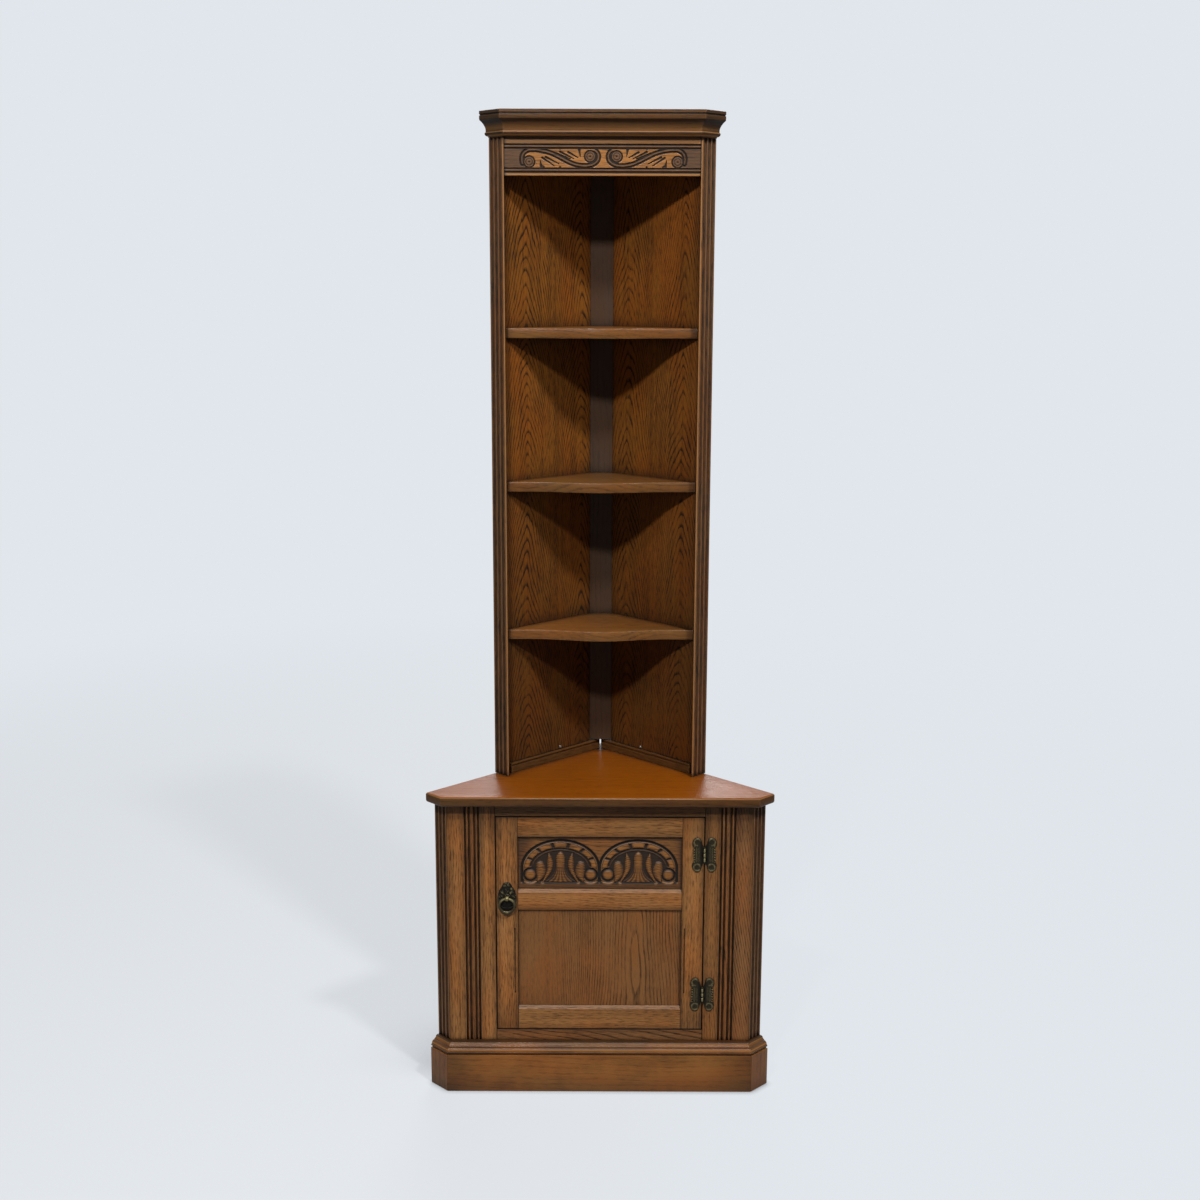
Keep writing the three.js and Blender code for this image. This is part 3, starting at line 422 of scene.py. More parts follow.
# Dark lines round the door: painted shade in the gaps, on the front only
GAP_HALF = 0.00075
GAP_SHADE = (0.0022, 0.96, EDGE_BACK)
DOOR_EDGES = (
    ("x", DOOR_SIDE + GAP_HALF, *GAP_SHADE),
    ("z", DOOR_LOW.z - GAP_HALF, *GAP_SHADE),
    ("z", DOOR_HIGH.z + GAP_HALF, *GAP_SHADE),
)
JOINT_LINE = ("x", DOOR_INNER, 0.0012, 0.6)
STILE_LINES = DOOR_EDGES + (JOINT_LINE,)
STILE_ENDS = (0.42, 0.08)
DOOR_STILE = {"lines": STILE_LINES, "ends": STILE_ENDS}
FRAME_STILE = {"lines": DOOR_EDGES[:1], "ends": STILE_ENDS}
BOARD_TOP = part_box("top_board")[1].z
BOARD_COLOUR = (BOARD_TOP, (144, 76, 8), (106, 51, 5))
# Painted highlight along the board's front arris
BOARD_ARRIS = levels(BOARD_TOP, (-0.0020, 0.0013, 0.5))
CORNICE_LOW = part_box("cornice_front")[0].z
# Painted shade in the cornice's cove and under its beads, and painted highlights on its rounds
CORNICE = {
    "lines": levels(CORNICE_LOW, (0.0390, 0.0024, 0.85), (0.0272, 0.0046, 0.6), (0.0060, 0.0016, 0.65)),
    "glints": levels(CORNICE_LOW, (0.0165, 0.0090, 0.22), (0.0088, 0.0018, 0.5), (0.0024, 0.0024, 0.9)),
}
MOULDING_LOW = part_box("plinth_moulding_front")[0].z
# Painted shade in the moulding's slope and groove, and painted highlights on its rounds
MOULDING = {
    "lines": levels(MOULDING_LOW, (0.0207, 0.0034, 0.7), (0.0127, 0.0012, 0.5), (0.0044, 0.0014, 0.8)),
    "glints": levels(MOULDING_LOW, (0.0180, 0.0017, 0.5), (0.0090, 0.0019, 0.6)),
}
PANEL_FADE = (0.7, 1.3, 0.55)
PLINTH_FOOT = (0.0, 0.045, 0.6)
# Painted highlight along the posts' inner arris
POST_ARRIS = (("x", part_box("upper_post_right")[0].x + 0.0012, 0.0018, 0.5),)

# Wooden pieces: finish, directions of the grain, tilt of its lines, and other settings
WOODEN = {
    "outer_stile_left": ("front", FRONT_UPRIGHT, 0.01, {"tone": 1.1, "ends": STILE_ENDS}),
    "outer_stile_right": ("figured", FRONT_UPRIGHT, 0.36, {"axes": (0.18,), "ends": STILE_ENDS}),
    "frame_stile_left": ("front", FRONT_UPRIGHT, 0.01, {"tone": 1.14, **FRAME_STILE}),
    "frame_stile_right": ("front", FRONT_UPRIGHT, 0.02, FRAME_STILE),
    "frame_top_rail": ("front", FRONT_LEVEL, 0.02, {"tone": 0.76, "lines": DOOR_EDGES[2:]}),
    "frame_bottom_rail": ("figured", FRONT_LEVEL, 0.16, {"axes": (0.07,), "lines": DOOR_EDGES[1:2]}),
    "door_hinge_stile": ("front", FRONT_UPRIGHT, 0.01, {"tone": 1.12, **DOOR_STILE}),
    "door_lock_stile": ("front", FRONT_UPRIGHT, 0.01, {"tone": 1.14, **DOOR_STILE}),
    "door_top_rail": ("front", FRONT_LEVEL, 0.02, {"tone": 1.0, "lines": STILE_LINES[2:]}),
    "door_mid_rail": ("front", FRONT_LEVEL, 0.02, {"tone": 1.16, "lines": (JOINT_LINE,)}),
    "door_bottom_rail": ("front", FRONT_LEVEL, 0.02, {"tone": 1.08, "lines": (DOOR_EDGES[1], JOINT_LINE)}),
    "door_lower_panel": ("door_panel", FRONT_UPRIGHT, 0.05, {"axes": (0.07,)}),
    "lower_pilaster_left": ("flute", LEFT_CANT_UPRIGHT, 0.02, {}),
    "lower_pilaster_right": ("flute", RIGHT_CANT_UPRIGHT, 0.02, {}),
    "reeded_strip_left": ("dark", FRONT_UPRIGHT, 0.01, {}),
    "reeded_strip_right": ("dark", FRONT_UPRIGHT, 0.01, {}),
    "plinth_front": ("plinth", FRONT_LEVEL, 0.03, {"tone": 1.04, "ends": (0.4, 0.09), "fade": PLINTH_FOOT}),
    "plinth_left": ("plinth", LEFT_CANT_UPRIGHT, 0.03, {"tone": 1.02, "fade": PLINTH_FOOT}),
    "plinth_right": ("plinth", RIGHT_CANT_UPRIGHT, 0.03, {"tone": 0.92, "fade": PLINTH_FOOT}),
    "plinth_moulding_front": ("plinth", FRONT_LEVEL, 0.02, {"tone": 0.9, **MOULDING}),
    "plinth_moulding_left": ("plinth", LEFT_CANT_LEVEL, 0.02, {"tone": 0.8, **MOULDING}),
    "plinth_moulding_right": ("plinth", RIGHT_CANT_LEVEL, 0.02, {"tone": 0.8, **MOULDING}),
    "plinth_back_left": ("inside", LEFT_WALL_LEVEL, 0.04, {}),
    "plinth_back_right": ("inside", RIGHT_WALL_LEVEL, 0.04, {}),
    "top_board": ("shelf", LYING, 0.03, {"tone": 0.7, "top_colour": BOARD_COLOUR, "glints": BOARD_ARRIS}),
    "lower_back_panel_left": ("inside", LEFT_WALL_UPRIGHT, 0.14, {}),
    "lower_back_panel_right": ("inside", RIGHT_WALL_UPRIGHT, 0.14, {}),
    "lower_corner_post": ("inside", FRONT_UPRIGHT, 0.02, {}),
    "cupboard_floor": ("inside", LYING, 0.05, {}),
    "cupboard_shelf": ("inside", LYING, 0.05, {}),
    "upper_post_left": ("flute", LEFT_CANT_UPRIGHT, 0.01, {"tone": 0.96, "glints": POST_ARRIS}),
    "upper_post_right": ("flute", RIGHT_CANT_UPRIGHT, 0.01, {"glints": POST_ARRIS}),
    "upper_back_panel_left": (
        "panel", LEFT_WALL_UPRIGHT, 0.24, {"axes": (-0.092, 0.052), "fade": PANEL_FADE},
    ),
    "upper_back_panel_right": (
        "panel", RIGHT_WALL_UPRIGHT, 0.22, {"axes": (-0.038, 0.108), "fade": PANEL_FADE},
    ),
    "upper_corner_post": ("post", FRONT_UPRIGHT, 0.02, {}),
    "upper_top": ("inside", LYING, 0.04, {}),
    "base_rail_left": ("cornice", LEFT_WALL_LEVEL, 0.02, {}),
    "base_rail_right": ("cornice", RIGHT_WALL_LEVEL, 0.02, {}),
    "cornice_front": ("cornice", FRONT_LEVEL, 0.02, CORNICE),
    "cornice_left": ("cornice", LEFT_CANT_LEVEL, 0.02, {"tone": 0.7, **CORNICE}),
    "cornice_right": ("cornice", RIGHT_CANT_LEVEL, 0.02, {"tone": 0.8, **CORNICE}),
    "shelf_lower": ("shelf", LYING, 0.05, {"tone": 0.98}),
    "shelf_middle": ("shelf", LYING, 0.04, {"tone": 0.9}),
    "shelf_upper": ("shelf", LYING, 0.03, {"tone": 0.94}),
}
FINE_EDGES = ("plinth_moulding", "cornice", "base_rail", "upper_post", "lower_pilaster", "reeded_strip")

for seed, (name, (finish, directions, tilt, settings)) in enumerate(WOODEN.items(), 1):
    width = 0.0004 if name.startswith(FINE_EDGES) else 0.001
    spans = spans_of(name, directions)
    dress(name, oak(f"oak_{name}", finish, directions, seed, tilt, spans, **settings), width)

cast_brass = metal("cast_antique_brass", (28, 25, 20), (140, 125, 86), 0.38, reliefed=True)
bright_brass = metal("bright_brass", (84, 76, 46), (152, 142, 96), 0.36)
pin_brass = metal("pin_brass", (30, 26, 18), (66, 58, 40), 0.4)
steel = metal("steel", (96, 94, 90), (176, 174, 168), 0.3)
for material, *names in (
    (bright_brass, "pull_post", "pull_nut"),
    (pin_brass, "hinge_upper_pin", "hinge_lower_pin"),
    (steel, "catch_strike", "panel_screw_left", "panel_screw_right"),
):
    for name in names:
        dress(name, material, 0.0002)
dress("catch_body", moulded_plastic("dark_plastic"), 0.0006)


def placed(name, data):
    """A new object in the scene, which shows the data."""
    thing = bpy.data.objects.new(name, data)
    bpy.context.scene.collection.objects.link(thing)
    return thing


def made_mesh(name, points, faces, values=None, sharp=None):
    """A mesh with a value at each point for each key, shaded smooth up to the sharp angle in degrees."""
    mesh = bpy.data.meshes.new(name)
    mesh.from_pydata(points, [], faces)
    mesh.update()
    for key, numbers in (values or {}).items():
        layer = mesh.attributes.new(key, "FLOAT", "POINT")
        layer.data.foreach_set("value", np.array(numbers, np.float32))
    if sharp:
        mesh.shade_smooth()
        mesh.set_sharp_from_angle(angle=math.radians(sharp))
    return mesh


# Reliefs: closed pieces whose front is a height field on a grid of points

def relief(name, x, z, height, front, back, values):
    """x, z and height are grids in millimetres, and front and back the planes along Y in metres."""
    rows, columns = x.shape
    face = np.stack([x * MM, front - height * MM, z * MM], axis=-1).reshape(-1, 3)
    number = np.arange(rows * columns).reshape(rows, columns)
    rim = np.concatenate([number[0, :-1], number[:-1, -1], number[-1, :0:-1], number[:0:-1, 0]])
    behind = face[rim].copy()
    behind[:, 1] = back
    quads = np.stack(
        [number[:-1, :-1], number[:-1, 1:], number[1:, 1:], number[1:, :-1]], axis=-1,
    ).reshape(-1, 4)
    rear = len(face) + np.arange(len(rim))
    sides = np.stack([rim, rear, np.roll(rear, -1), np.roll(rim, -1)], axis=-1)
    faces = [*quads.tolist(), *sides.tolist(), rear[::-1].tolist()]
    points = np.concatenate([face, behind]).tolist()
    shown = {key: np.append(grid.reshape(-1), grid.reshape(-1)[rim]) for key, grid in values.items()}
    return placed(name, made_mesh(name, points, faces, shown, 60))


def settle(piece, material, slot, body, *replaced):
    piece.data.materials.append(material)
    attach(piece, body)
    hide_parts(*replaced)
    return piece


def spline(points, steps=10):
    """A smooth curve through the points, as a list of close points."""
    points = np.array(points, float)
    ends = np.vstack([2 * points[0] - points[1], points, 2 * points[-1] - points[-2]])
    share = np.linspace(0, 1, steps, endpoint=False)[:, None]
    parts = []
    for a, b, c, d in zip(ends, ends[1:], ends[2:], ends[3:]):
        parts.append(0.5 * (
            2 * b + (c - a) * share + (2 * a - 5 * b + 4 * c - d) * share ** 2
            + (3 * b - a - 3 * c + d) * share ** 3
        ))
    parts.append(points[-1:])
    return np.vstack(parts)


def along(x, z, path):
    """Distance of each grid point from a curve, and the share of the curve's length there."""
    starts, ends = path[:-1], path[1:]
    lengths = np.hypot(*(ends - starts).T)
    before = np.concatenate([[0], np.cumsum(lengths)])
    best = np.full(x.shape, 1e9)
    travel = np.zeros(x.shape)
    for start, end, length, passed in zip(starts, ends, lengths, before):
        step = (end - start) / max(length, 1e-9)
        run = np.clip((x - start[0]) * step[0] + (z - start[1]) * step[1], 0, length)
        gap = np.hypot(x - start[0] - step[0] * run, z - start[1] - step[1] * run)
        nearer = gap < best
        best = np.where(nearer, gap, best)
        travel = np.where(nearer, passed + run, travel)
    return best, travel / before[-1]


def smooth(value, low, high):
    share = np.clip((value - low) / (high - low), 0, 1)
    return share * share * (3 - 2 * share)


def gouge(distance, half_width):
    """Profile of a cut: 1 at its middle and 0 from its half width on."""
    return np.clip(1 - (distance / np.maximum(half_width, 1e-6)) ** 2, 0, 1)


def bell(distance, width, power=2):
    """1 at no distance, falling off smoothly over the width."""
    return np.exp(-(distance / width) ** power)


# Frieze rail, with incised scrolls between two beads

FRIEZE_PITCH = 0.7
FRIEZE_ROWS = 110
FRIEZE_GROOVE = 2.2
FRIEZE_BEAD = 4.6
FRIEZE_GROOVES = (4.9, 46.4)
SCROLL_BAND = [
    (22.5, 45.5), (16.4, 44.3), (10.7, 39.6), (8.7, 32.3), (11.7, 24.4), (20.1, 19.0), (32.4, 17.1),
    (44.8, 18.1), (54.7, 20.5), (64.6, 24.7), (74.5, 29.6), (84.4, 34.5), (94.3, 38.9), (104.2, 41.8),
    (114.6, 43.8), (125.2, 44.8), (134.8, 44.3), (142.3, 40.3), (146.2, 34.1), (147.2, 27.4), (146.2, 20.6),
]
BLADES = [
    [(85.7, 39.0), (59.7, 29.2)], [(78.2, 41.5), (53.5, 29.2)], [(63.4, 40.9), (46.1, 31.3)],
    [(110.4, 31.1), (88.7, 17.0)], [(104.2, 32.3), (80.7, 20.6)],
]
WEDGES = [
    [(43.6, 45.5), (41.7, 32.3), 2.8], [(112.1, 15.1), (114.1, 27.0), 2.8],
    [(107.5, 14.8), (112.0, 19.0), 2.0], [(78.2, 47.3), (78.2, 44.6), 3.0], [(78.2, 13.9), (78.2, 16.6), 3.0],
]
INNER_DISC = (24.0, 33.4, 10.0)
OUTER_DISC = (134.0, 23.8, 10.0)
TAIL_START = 126.0
FRIEZE_MIDDLE = 1.6
FRIEZE_SEED = 71


def frieze_piece():
    low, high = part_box("frieze_rail")
    half = high.x / MM
    base = low.z / MM
    x, up = np.meshgrid(
        np.linspace(-half, half, round(2 * half / FRIEZE_PITCH)),
        np.linspace(0, (high.z - low.z) / MM, FRIEZE_ROWS),
    )
    height, stain = np.zeros((2, *x.shape))
    whole = FRIEZE_GROOVE * 2 + FRIEZE_BEAD
    for start in FRIEZE_GROOVES:
        into = up - start
        inside = (into > 0) & (into < whole)
        from_bead = into - whole / 2
        arch = np.clip(1 - (from_bead / (FRIEZE_BEAD / 2)) ** 2, 0, 1)
        height = np.where(inside, -2.5 + 2.5 * np.sqrt(arch), height)
        edge = smooth(np.abs(from_bead), FRIEZE_BEAD / 2 - 0.6, FRIEZE_BEAD / 2 + 0.3)
        stain = np.where(inside, 0.25 + 0.75 * edge, stain)
    field = smooth(up, 13.9, 14.6) * smooth(-up, -46.4, -45.7)
    side = np.abs(x - FRIEZE_MIDDLE)
    band, travel = along(side, up, spline(SCROLL_BAND, 8))
    fade = smooth(travel, 0.0, 0.05)
    cut = 2.4 * gouge(band - 3.0, 1.8) * fade
    grey = smooth(-band, -2.4, -1.8) * fade
    for disc_x, disc_z, radius in (INNER_DISC, OUTER_DISC):
        distance = np.hypot(side - disc_x, up - disc_z)
        keep = distance < radius
        cut = np.where(keep, 0.0, cut)
        grey = np.where(keep, 1.0, grey)
        for depth in (
            2.2 * gouge(distance - radius, 1.5),
            0.7 * smooth(distance, radius * 0.4, radius) * keep,
            1.0 * gouge(distance - radius * 0.6, 1.1),
            1.6 * gouge(distance, 1.9),
        ):
            cut = np.maximum(cut, depth)
    for blade in BLADES:
        distance, travel = along(side, up, np.array(blade))
        cut = np.maximum(cut, 2.2 * gouge(distance, 2.0 * (1 - 0.7 * travel) + 0.3))
    for first, last, width in WEDGES:
        distance, travel = along(side, up, np.array([first, last]))
        cut = np.maximum(cut, 2.2 * gouge(distance, width * (1 - 0.85 * travel)))
    height = height - cut * field
    tail = np.hypot(np.maximum(side - TAIL_START, 0), (up - 29.5) * 1.1)
    carved = smooth(-np.where(side > TAIL_START, tail, 0.0), -21.5, -18.5) * field
    # Darker in the cuts and at the ends; the top band darkened as painted shade under the cornice
    for tone in (
        np.maximum(0.97 * smooth(cut, 0.2, 0.9), 0.64 * grey) * field,
        0.6 * smooth(side, half - 5, half),
        0.12 * (1 - field) * (up > 56) * smooth(up, 60, 67),
        0.66 * (1 - carved) * field,
    ):
        stain = np.maximum(stain, tone)
    values = {"stain": stain, "warm": np.maximum(carved * 0.85, 0.5 * field)}
    piece = relief("frieze_carving", x, up + base, height, low.y, high.y, values)
    edges = (("x", half * MM - 0.0002, 0.0026, 0.8),)
    # Painted highlights along the bottom edge and on the top band
    foot = levels(low.z, (0.0022, 0.0026, 0.65), (0.0590, 0.0055, 0.6))
    material = oak(
        "oak_frieze", "carving", FRONT_LEVEL, FRIEZE_SEED, CARVED_TILT, carved=True, lines=edges, glints=foot,
        tone=0.84,
    )
    return settle(piece, material, "oak", "cabinet", "frieze_rail")


# Carved door panel: two lunettes, each with a blocked arch, scrolls, leaves and a bud

PANEL_PITCH = 0.7
LUNETTE_CENTRES = (-75.4, 72.8)
ARCH_CENTRE = 40.0
OUTER_ARCH = (73.8, 56.8)
INNER_ARCH = (56.5, 39.4)
BLOCK_SPACING = math.radians(26)
BLOCK_HALF = math.radians(11.4)
LUNETTE_FLOOR = 12.0
SUNK = 3.4
BUD = [
    (74.5, 0.0), (71.5, 4.0), (66.0, 7.4), (60.0, 8.6), (50.0, 8.2), (42.0, 8.6), (35.0, 10.2), (29.0, 12.8),
    (24.0, 16.0), (20.0, 20.0), (16.0, 26.0), (12.9, 31.0),
]
LEAF = [
    (-22.6, 71.0), (-20.8, 62.0), (-19.8, 50.0), (-20.4, 40.0), (-23.4, 31.0), (-28.2, 22.0), (-34.2, 12.0),
]
LEAF_WIDTHS = [(0.0, 0.3), (0.15, 4.0), (0.32, 6.2), (0.5, 5.4), (0.7, 3.6), (1.0, 1.2)]
FAT_LEAF = [(-38.8, 47.0), (-37.8, 40.0), (-37.4, 33.0), (-38.6, 24.7), (-42.5, 16.0)]
FAT_LEAF_WIDTHS = [(0.0, 7.6), (0.12, 9.0), (0.35, 9.8), (0.6, 8.6), (0.8, 6.0), (1.0, 3.0)]
SCROLL_OFFSET = 57.6
SCROLL_HEIGHT = 27.6
SCROLL_RADIUS = 10.6
CRESCENT_RADIUS = 17.2
FOOT_BEAD = (34.2, 10.6)
LEAF_TIPS = ((-38.6, 52.6, 4.6), (-22.2, 67.6, 1.6))
PANEL_TALL = 106.7
PANEL_HALF = 156.7
PANEL_SEED = 83
CARVED_TILT = 0.05


def ellipse_distance(x, z, arch):
    """About the distance from an ellipse, above 0 outside it."""
    a, b = arch
    value = (x / a) ** 2 + (z / b) ** 2 - 1
    slope = 2 * np.hypot(x / a ** 2, z / b ** 2)
    return value / np.maximum(slope, 1e-6)


class Ground:
    """A carved surface: its height, how darkly it is stained and painted with shade, and where painted
    highlights lie.
    """

    def __init__(self, height, stain):
        self.height = height
        self.stain = stain
        self.painted_carving_highlight = np.zeros(height.shape)

    def lay(self, mask, top, tone):
        """Lays a motif on the sunk ground, where its mask says."""
        self.height = self.height * (1 - mask) + top * mask
        self.stain = self.stain * (1 - mask) + tone * mask

    # Adds painted highlight where the amount says
    def painted_highlight(self, amount):
        self.painted_carving_highlight = np.maximum(self.painted_carving_highlight, amount)


def lay_scrolls(ground, x, z, side):
    """The scroll at one foot of the arch, with the crescent and the bead below it."""
    centre_x = side * SCROLL_OFFSET
    below = SCROLL_HEIGHT - z
    distance = np.hypot(x - centre_x, below)
    around = smooth(-distance, -(SCROLL_RADIUS + 6.2), -(SCROLL_RADIUS + 5.2))
    outward = smooth(side * (x - centre_x) + 0.3 * below, -9.0, -3.0)
    ring = around * np.maximum(outward, smooth(below, 4.0, 8.0))
    ring_level = -0.2 - 1.8 * np.clip((distance - SCROLL_RADIUS - 5.0) / 2.0, -1, 1) ** 2
    ground.lay(ring, ring_level, 0.5)
    moat = smooth(-distance, -(SCROLL_RADIUS + 4.0), -(SCROLL_RADIUS + 3.0))
    ground.lay(moat, -SUNK, 1.0)
    ball = smooth(-distance, -SCROLL_RADIUS - 0.3, -SCROLL_RADIUS + 0.5)
    dome = -3.2 + 3.4 * np.sqrt(np.clip(1 - (distance / (SCROLL_RADIUS + 1)) ** 2, 0, 1))
    # Painted highlight on the top of the ball, and painted shade towards its edge
    ground.painted_highlight(0.55 * bell(distance - SCROLL_RADIUS + 2.6, 1.5) * smooth(-below, 5.0, 8.5))
    ground.lay(ball, dome, 0.15 + 0.6 * smooth(distance, SCROLL_RADIUS * 0.5, SCROLL_RADIUS))
    away = distance - CRESCENT_RADIUS
    crescent = smooth(-np.abs(away), -2.2, -1.5) * smooth(below, 12.0, 14.0)
    ground.lay(crescent, -2.0 * np.clip(away / 2.2, -1, 1) ** 2, 0.0)
    # Painted highlight on the crescent
    ground.painted_highlight(0.6 * bell(away, 1.2) * smooth(below, 13.5, 16.5))
    distance = np.hypot(x - side * FOOT_BEAD[0], z - FOOT_BEAD[1])
    bead_top = -2.2 + 2.2 * np.sqrt(np.clip(1 - (distance / 4.0) ** 2, 0, 1))
    ground.lay(smooth(-distance, -3.6, -2.8), bead_top, 0.0)
    # Painted highlight on the bead
    ground.painted_highlight(0.55 * bell(distance, 2.0))


def lay_leaves(ground, x, z):
    """The leaves on one side of the bud, on the left where x is not mirrored."""
    # Painted highlights on the leaf tips
    for tip_x, tip_z, reach in LEAF_TIPS:
        ground.painted_highlight(0.5 * bell(x - tip_x, reach) * bell(z - tip_z, 1.6))
    for path, widths, hatch in ((FAT_LEAF, FAT_LEAF_WIDTHS, 3.4), (LEAF, LEAF_WIDTHS, 3.8)):
        distance, travel = along(x, z, spline(path, 6))
        width = np.interp(travel, *zip(*widths))
        round_off = np.clip(distance / np.maximum(width, 0.5), 0, 1) ** 2
        cuts = (0.5 + 0.5 * np.cos((z + 0.3 * x) * math.tau / hatch)) ** 3
        # Painted shade towards the leaf's edges, and darker in the hatching
        tone = 0.12 + 0.55 * round_off + 0.45 * cuts
        ground.lay(smooth(width - distance, -0.5, 0.5), -0.2 - 2.0 * round_off - 0.4 * cuts, tone)


def lay_bud(ground, x, z):
    half = np.interp(z, *zip(*BUD[::-1]))
    mask = smooth(half - np.abs(x), -0.5, 0.6) * smooth(z, 12.6, 13.6) * smooth(-z, -74.0, -72.5)
    share = np.clip(np.abs(x) / np.maximum(half, 0.5), 0, 1)
    lower = smooth(-z, -48.0, -36.0)
    between = (1 - (0.5 + 0.5 * np.cos(share * 3 * math.tau)) * lower) * lower
    hatch = (0.5 + 0.5 * np.cos(z * math.tau / 4.0)) ** 3 * smooth(z, 40.0, 50.0)
    top = -0.3 - 1.2 * share ** 2 - 0.9 * between - 0.3 * hatch
    # Painted shade towards the bud's sides, darker in its flutes and hatching, and a painted highlight at its
    # tip
    ground.lay(mask, top, 0.12 + 0.5 * share ** 2 + 0.5 * between + 0.25 * hatch)
    ground.painted_highlight(0.5 * bell(x, 3.6) * bell(z - 70.8, 1.6))


def lunette(x, z):
    """The ground of one lunette, how far inside it a point is, and the distance outside its arch."""
    arch_z = z - ARCH_CENTRE
    outer, inner = (
        np.where(arch_z > 0, ellipse_distance(x, arch_z, arch), np.abs(x) - arch[0])
        for arch in (OUTER_ARCH, INNER_ARCH)
    )
    within = smooth(-outer, -0.8, 0.8)
    inside = within * smooth(z, LUNETTE_FLOOR - 0.8, LUNETTE_FLOOR + 0.8)
    ground = Ground(-SUNK * inside, 0.93 * within * smooth(z, LUNETTE_FLOOR - 3.4, LUNETTE_FLOOR - 1.8))

    band = smooth(inner, 1.6, 2.8) * smooth(-outer, 1.6, 2.4) * smooth(z, 24.0, 28.0)
    ground.lay(smooth(-np.abs(inner + 2.6), -1.5, -0.7) * smooth(z, 40.0, 52.0), -2.2, 0.72)
    turned = np.arctan2(arch_z / (OUTER_ARCH[1] - 10), x / (OUTER_ARCH[0] - 8)) - math.pi / 2
    local = np.abs((turned + BLOCK_SPACING / 2) % BLOCK_SPACING - BLOCK_SPACING / 2)
    block = smooth(-local, -BLOCK_HALF, -math.radians(9.8))
    channel = smooth(-outer, 4.4, 5.2) * smooth(inner, 2.0, 3.0)
    slope = 1 - smooth(np.minimum(-outer - 4.4, inner - 2.4), 0.0, 3.0)
    slope = np.maximum(slope, smooth(local, math.radians(6.5), BLOCK_HALF))
    gap = channel * (1 - block)
    rim = np.clip(1 - ((outer + 3.5) / 1.3) ** 2, 0, 1)
    band_top = np.where(channel > 0.5, -0.1 - 0.9 * slope - 2.0 * gap, -1.5 + 1.4 * rim)
    # Painted shade on the sides of the blocks and in the gaps between them, and a lighter crest on the rim
    band_tone = np.where(channel > 0.5, np.maximum(0.08 + 0.5 * slope, 0.95 * gap), 0.7 - 0.35 * rim)
    ground.lay(band, band_top, band_tone)
    # Painted highlight along the rim, stronger towards the left
    ground.painted_highlight(0.5 * band * rim * smooth(z, 34.0, 60.0) * (0.35 + 0.65 * smooth(-x, -25.0, 25.0)))
    for side in (-1, 1):
        lay_scrolls(ground, x, z, side)
        lay_leaves(ground, -side * x, z)
    lay_bud(ground, x, z)
    return ground, inside, outer


def carved_panel_piece():
    low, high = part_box("door_carved_panel")
    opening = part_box("door_mid_rail")[1].z / MM
    x, z = np.meshgrid(
        np.linspace(low.x / MM, high.x / MM, round((high.x - low.x) / MM / PANEL_PITCH)),
        np.linspace(low.z / MM, high.z / MM, round((high.z - low.z) / MM / PANEL_PITCH)),
    )
    up = z - opening
    height, stain, motif, wear_and_highlight = np.zeros((4, *x.shape))
    for centre in LUNETTE_CENTRES:
        ground, inside, outer = lunette(x - centre, up)
        near = np.abs(x - centre) < OUTER_ARCH[0] + 3
        motif = np.where(near, np.maximum(motif, inside), motif)
        wear_and_highlight = np.where(near, np.maximum(wear_and_highlight, ground.painted_carving_highlight), wear_and_highlight)
        height = np.where(near, np.minimum(height, ground.height), height)
        height = np.where(near & (inside > 0.5), ground.height, height)
        line = gouge(outer, 3.3) * smooth(up, 10.0, 14.0)
        height = np.where(near, np.minimum(height, -2.8 * line), height)
        tone = np.maximum(ground.stain, smooth(line, 0.1, 0.7))
        stain = np.where(near, np.maximum(stain, tone), stain)
    base_line = gouge(up - 11.6, 1.1) * smooth(-np.abs(np.abs(x) - 75), -36.0, -33.0)
    height = np.minimum(height, -1.6 * base_line)
    border = np.minimum(np.minimum(up, PANEL_TALL - up), PANEL_HALF - np.abs(x))
    corner = 152.0 - np.abs(x - 6.0) + 0.35 * np.minimum(PANEL_TALL - up, 60.0)
    # Darker along the bottom strip, the base line and towards the upper corners, and along the border as
    # painted shade under the frame's edge
    for tone in (
        0.5 * (1 - smooth(up, 9.0, 13.0)),
        0.9 * base_line,
        0.75 * (1 - smooth(border, 0.5, 4.0)),
        0.55 * (1 - smooth(border, 2.0, 13.0)),
        0.6 * (1 - smooth(corner, 4.0, 34.0)),
    ):
        stain = np.maximum(stain, tone)
    height = np.where(border < 0.4, np.minimum(height, 0), height)
    values = {"stain": stain, "warm": 0.1 + 0.6 * motif * (1 - stain), "painted_carving_highlight": wear_and_highlight}
    piece = relief("door_panel_carving", x, z, height, low.y, high.y, values)
    material = oak("oak_carved_panel", "carving", FRONT_LEVEL, PANEL_SEED, CARVED_TILT, carved=True)
    return settle(piece, material, "oak_panel", "door", "door_carved_panel")


# Cast hinge leaves: a scroll at each end, knobs along the outer edge, and their own knuckles

LEAF_COLUMNS = 46
LEAF_ROWS = 150
LEAF_INNER = 2.2
LEAF_OUTER = 23.75
LEAF_PLATE = 1.2
LOBE_INNER = [(0.74, 0.0), (0.8, 0.1), (0.9, 0.17), (0.97, 0.28), (1.0, 0.48)]
LOBE_OUTER = [(0.7, 0.86), (0.74, 0.95), (0.81, 1.0), (0.91, 0.93), (0.98, 0.74), (1.0, 0.48)]
KNOB_PITCH = 5.0
EYE = (13.6, 25.2)
CURL_BALL = (18.6, 18.8)
KNUCKLE_RADIUS = 2.4
KNUCKLE_BORE = 1.85
KNUCKLE_LENGTH = 28 / 3
KNUCKLE_GAP = 2.2
KNUCKLE_EASE = 0.35
EYE_OPENING = math.radians(215)
TAB_REACH = (0.4, LEAF_INNER + 3.5)
TAB_EASE = 0.3
ROUND_STEPS = 28


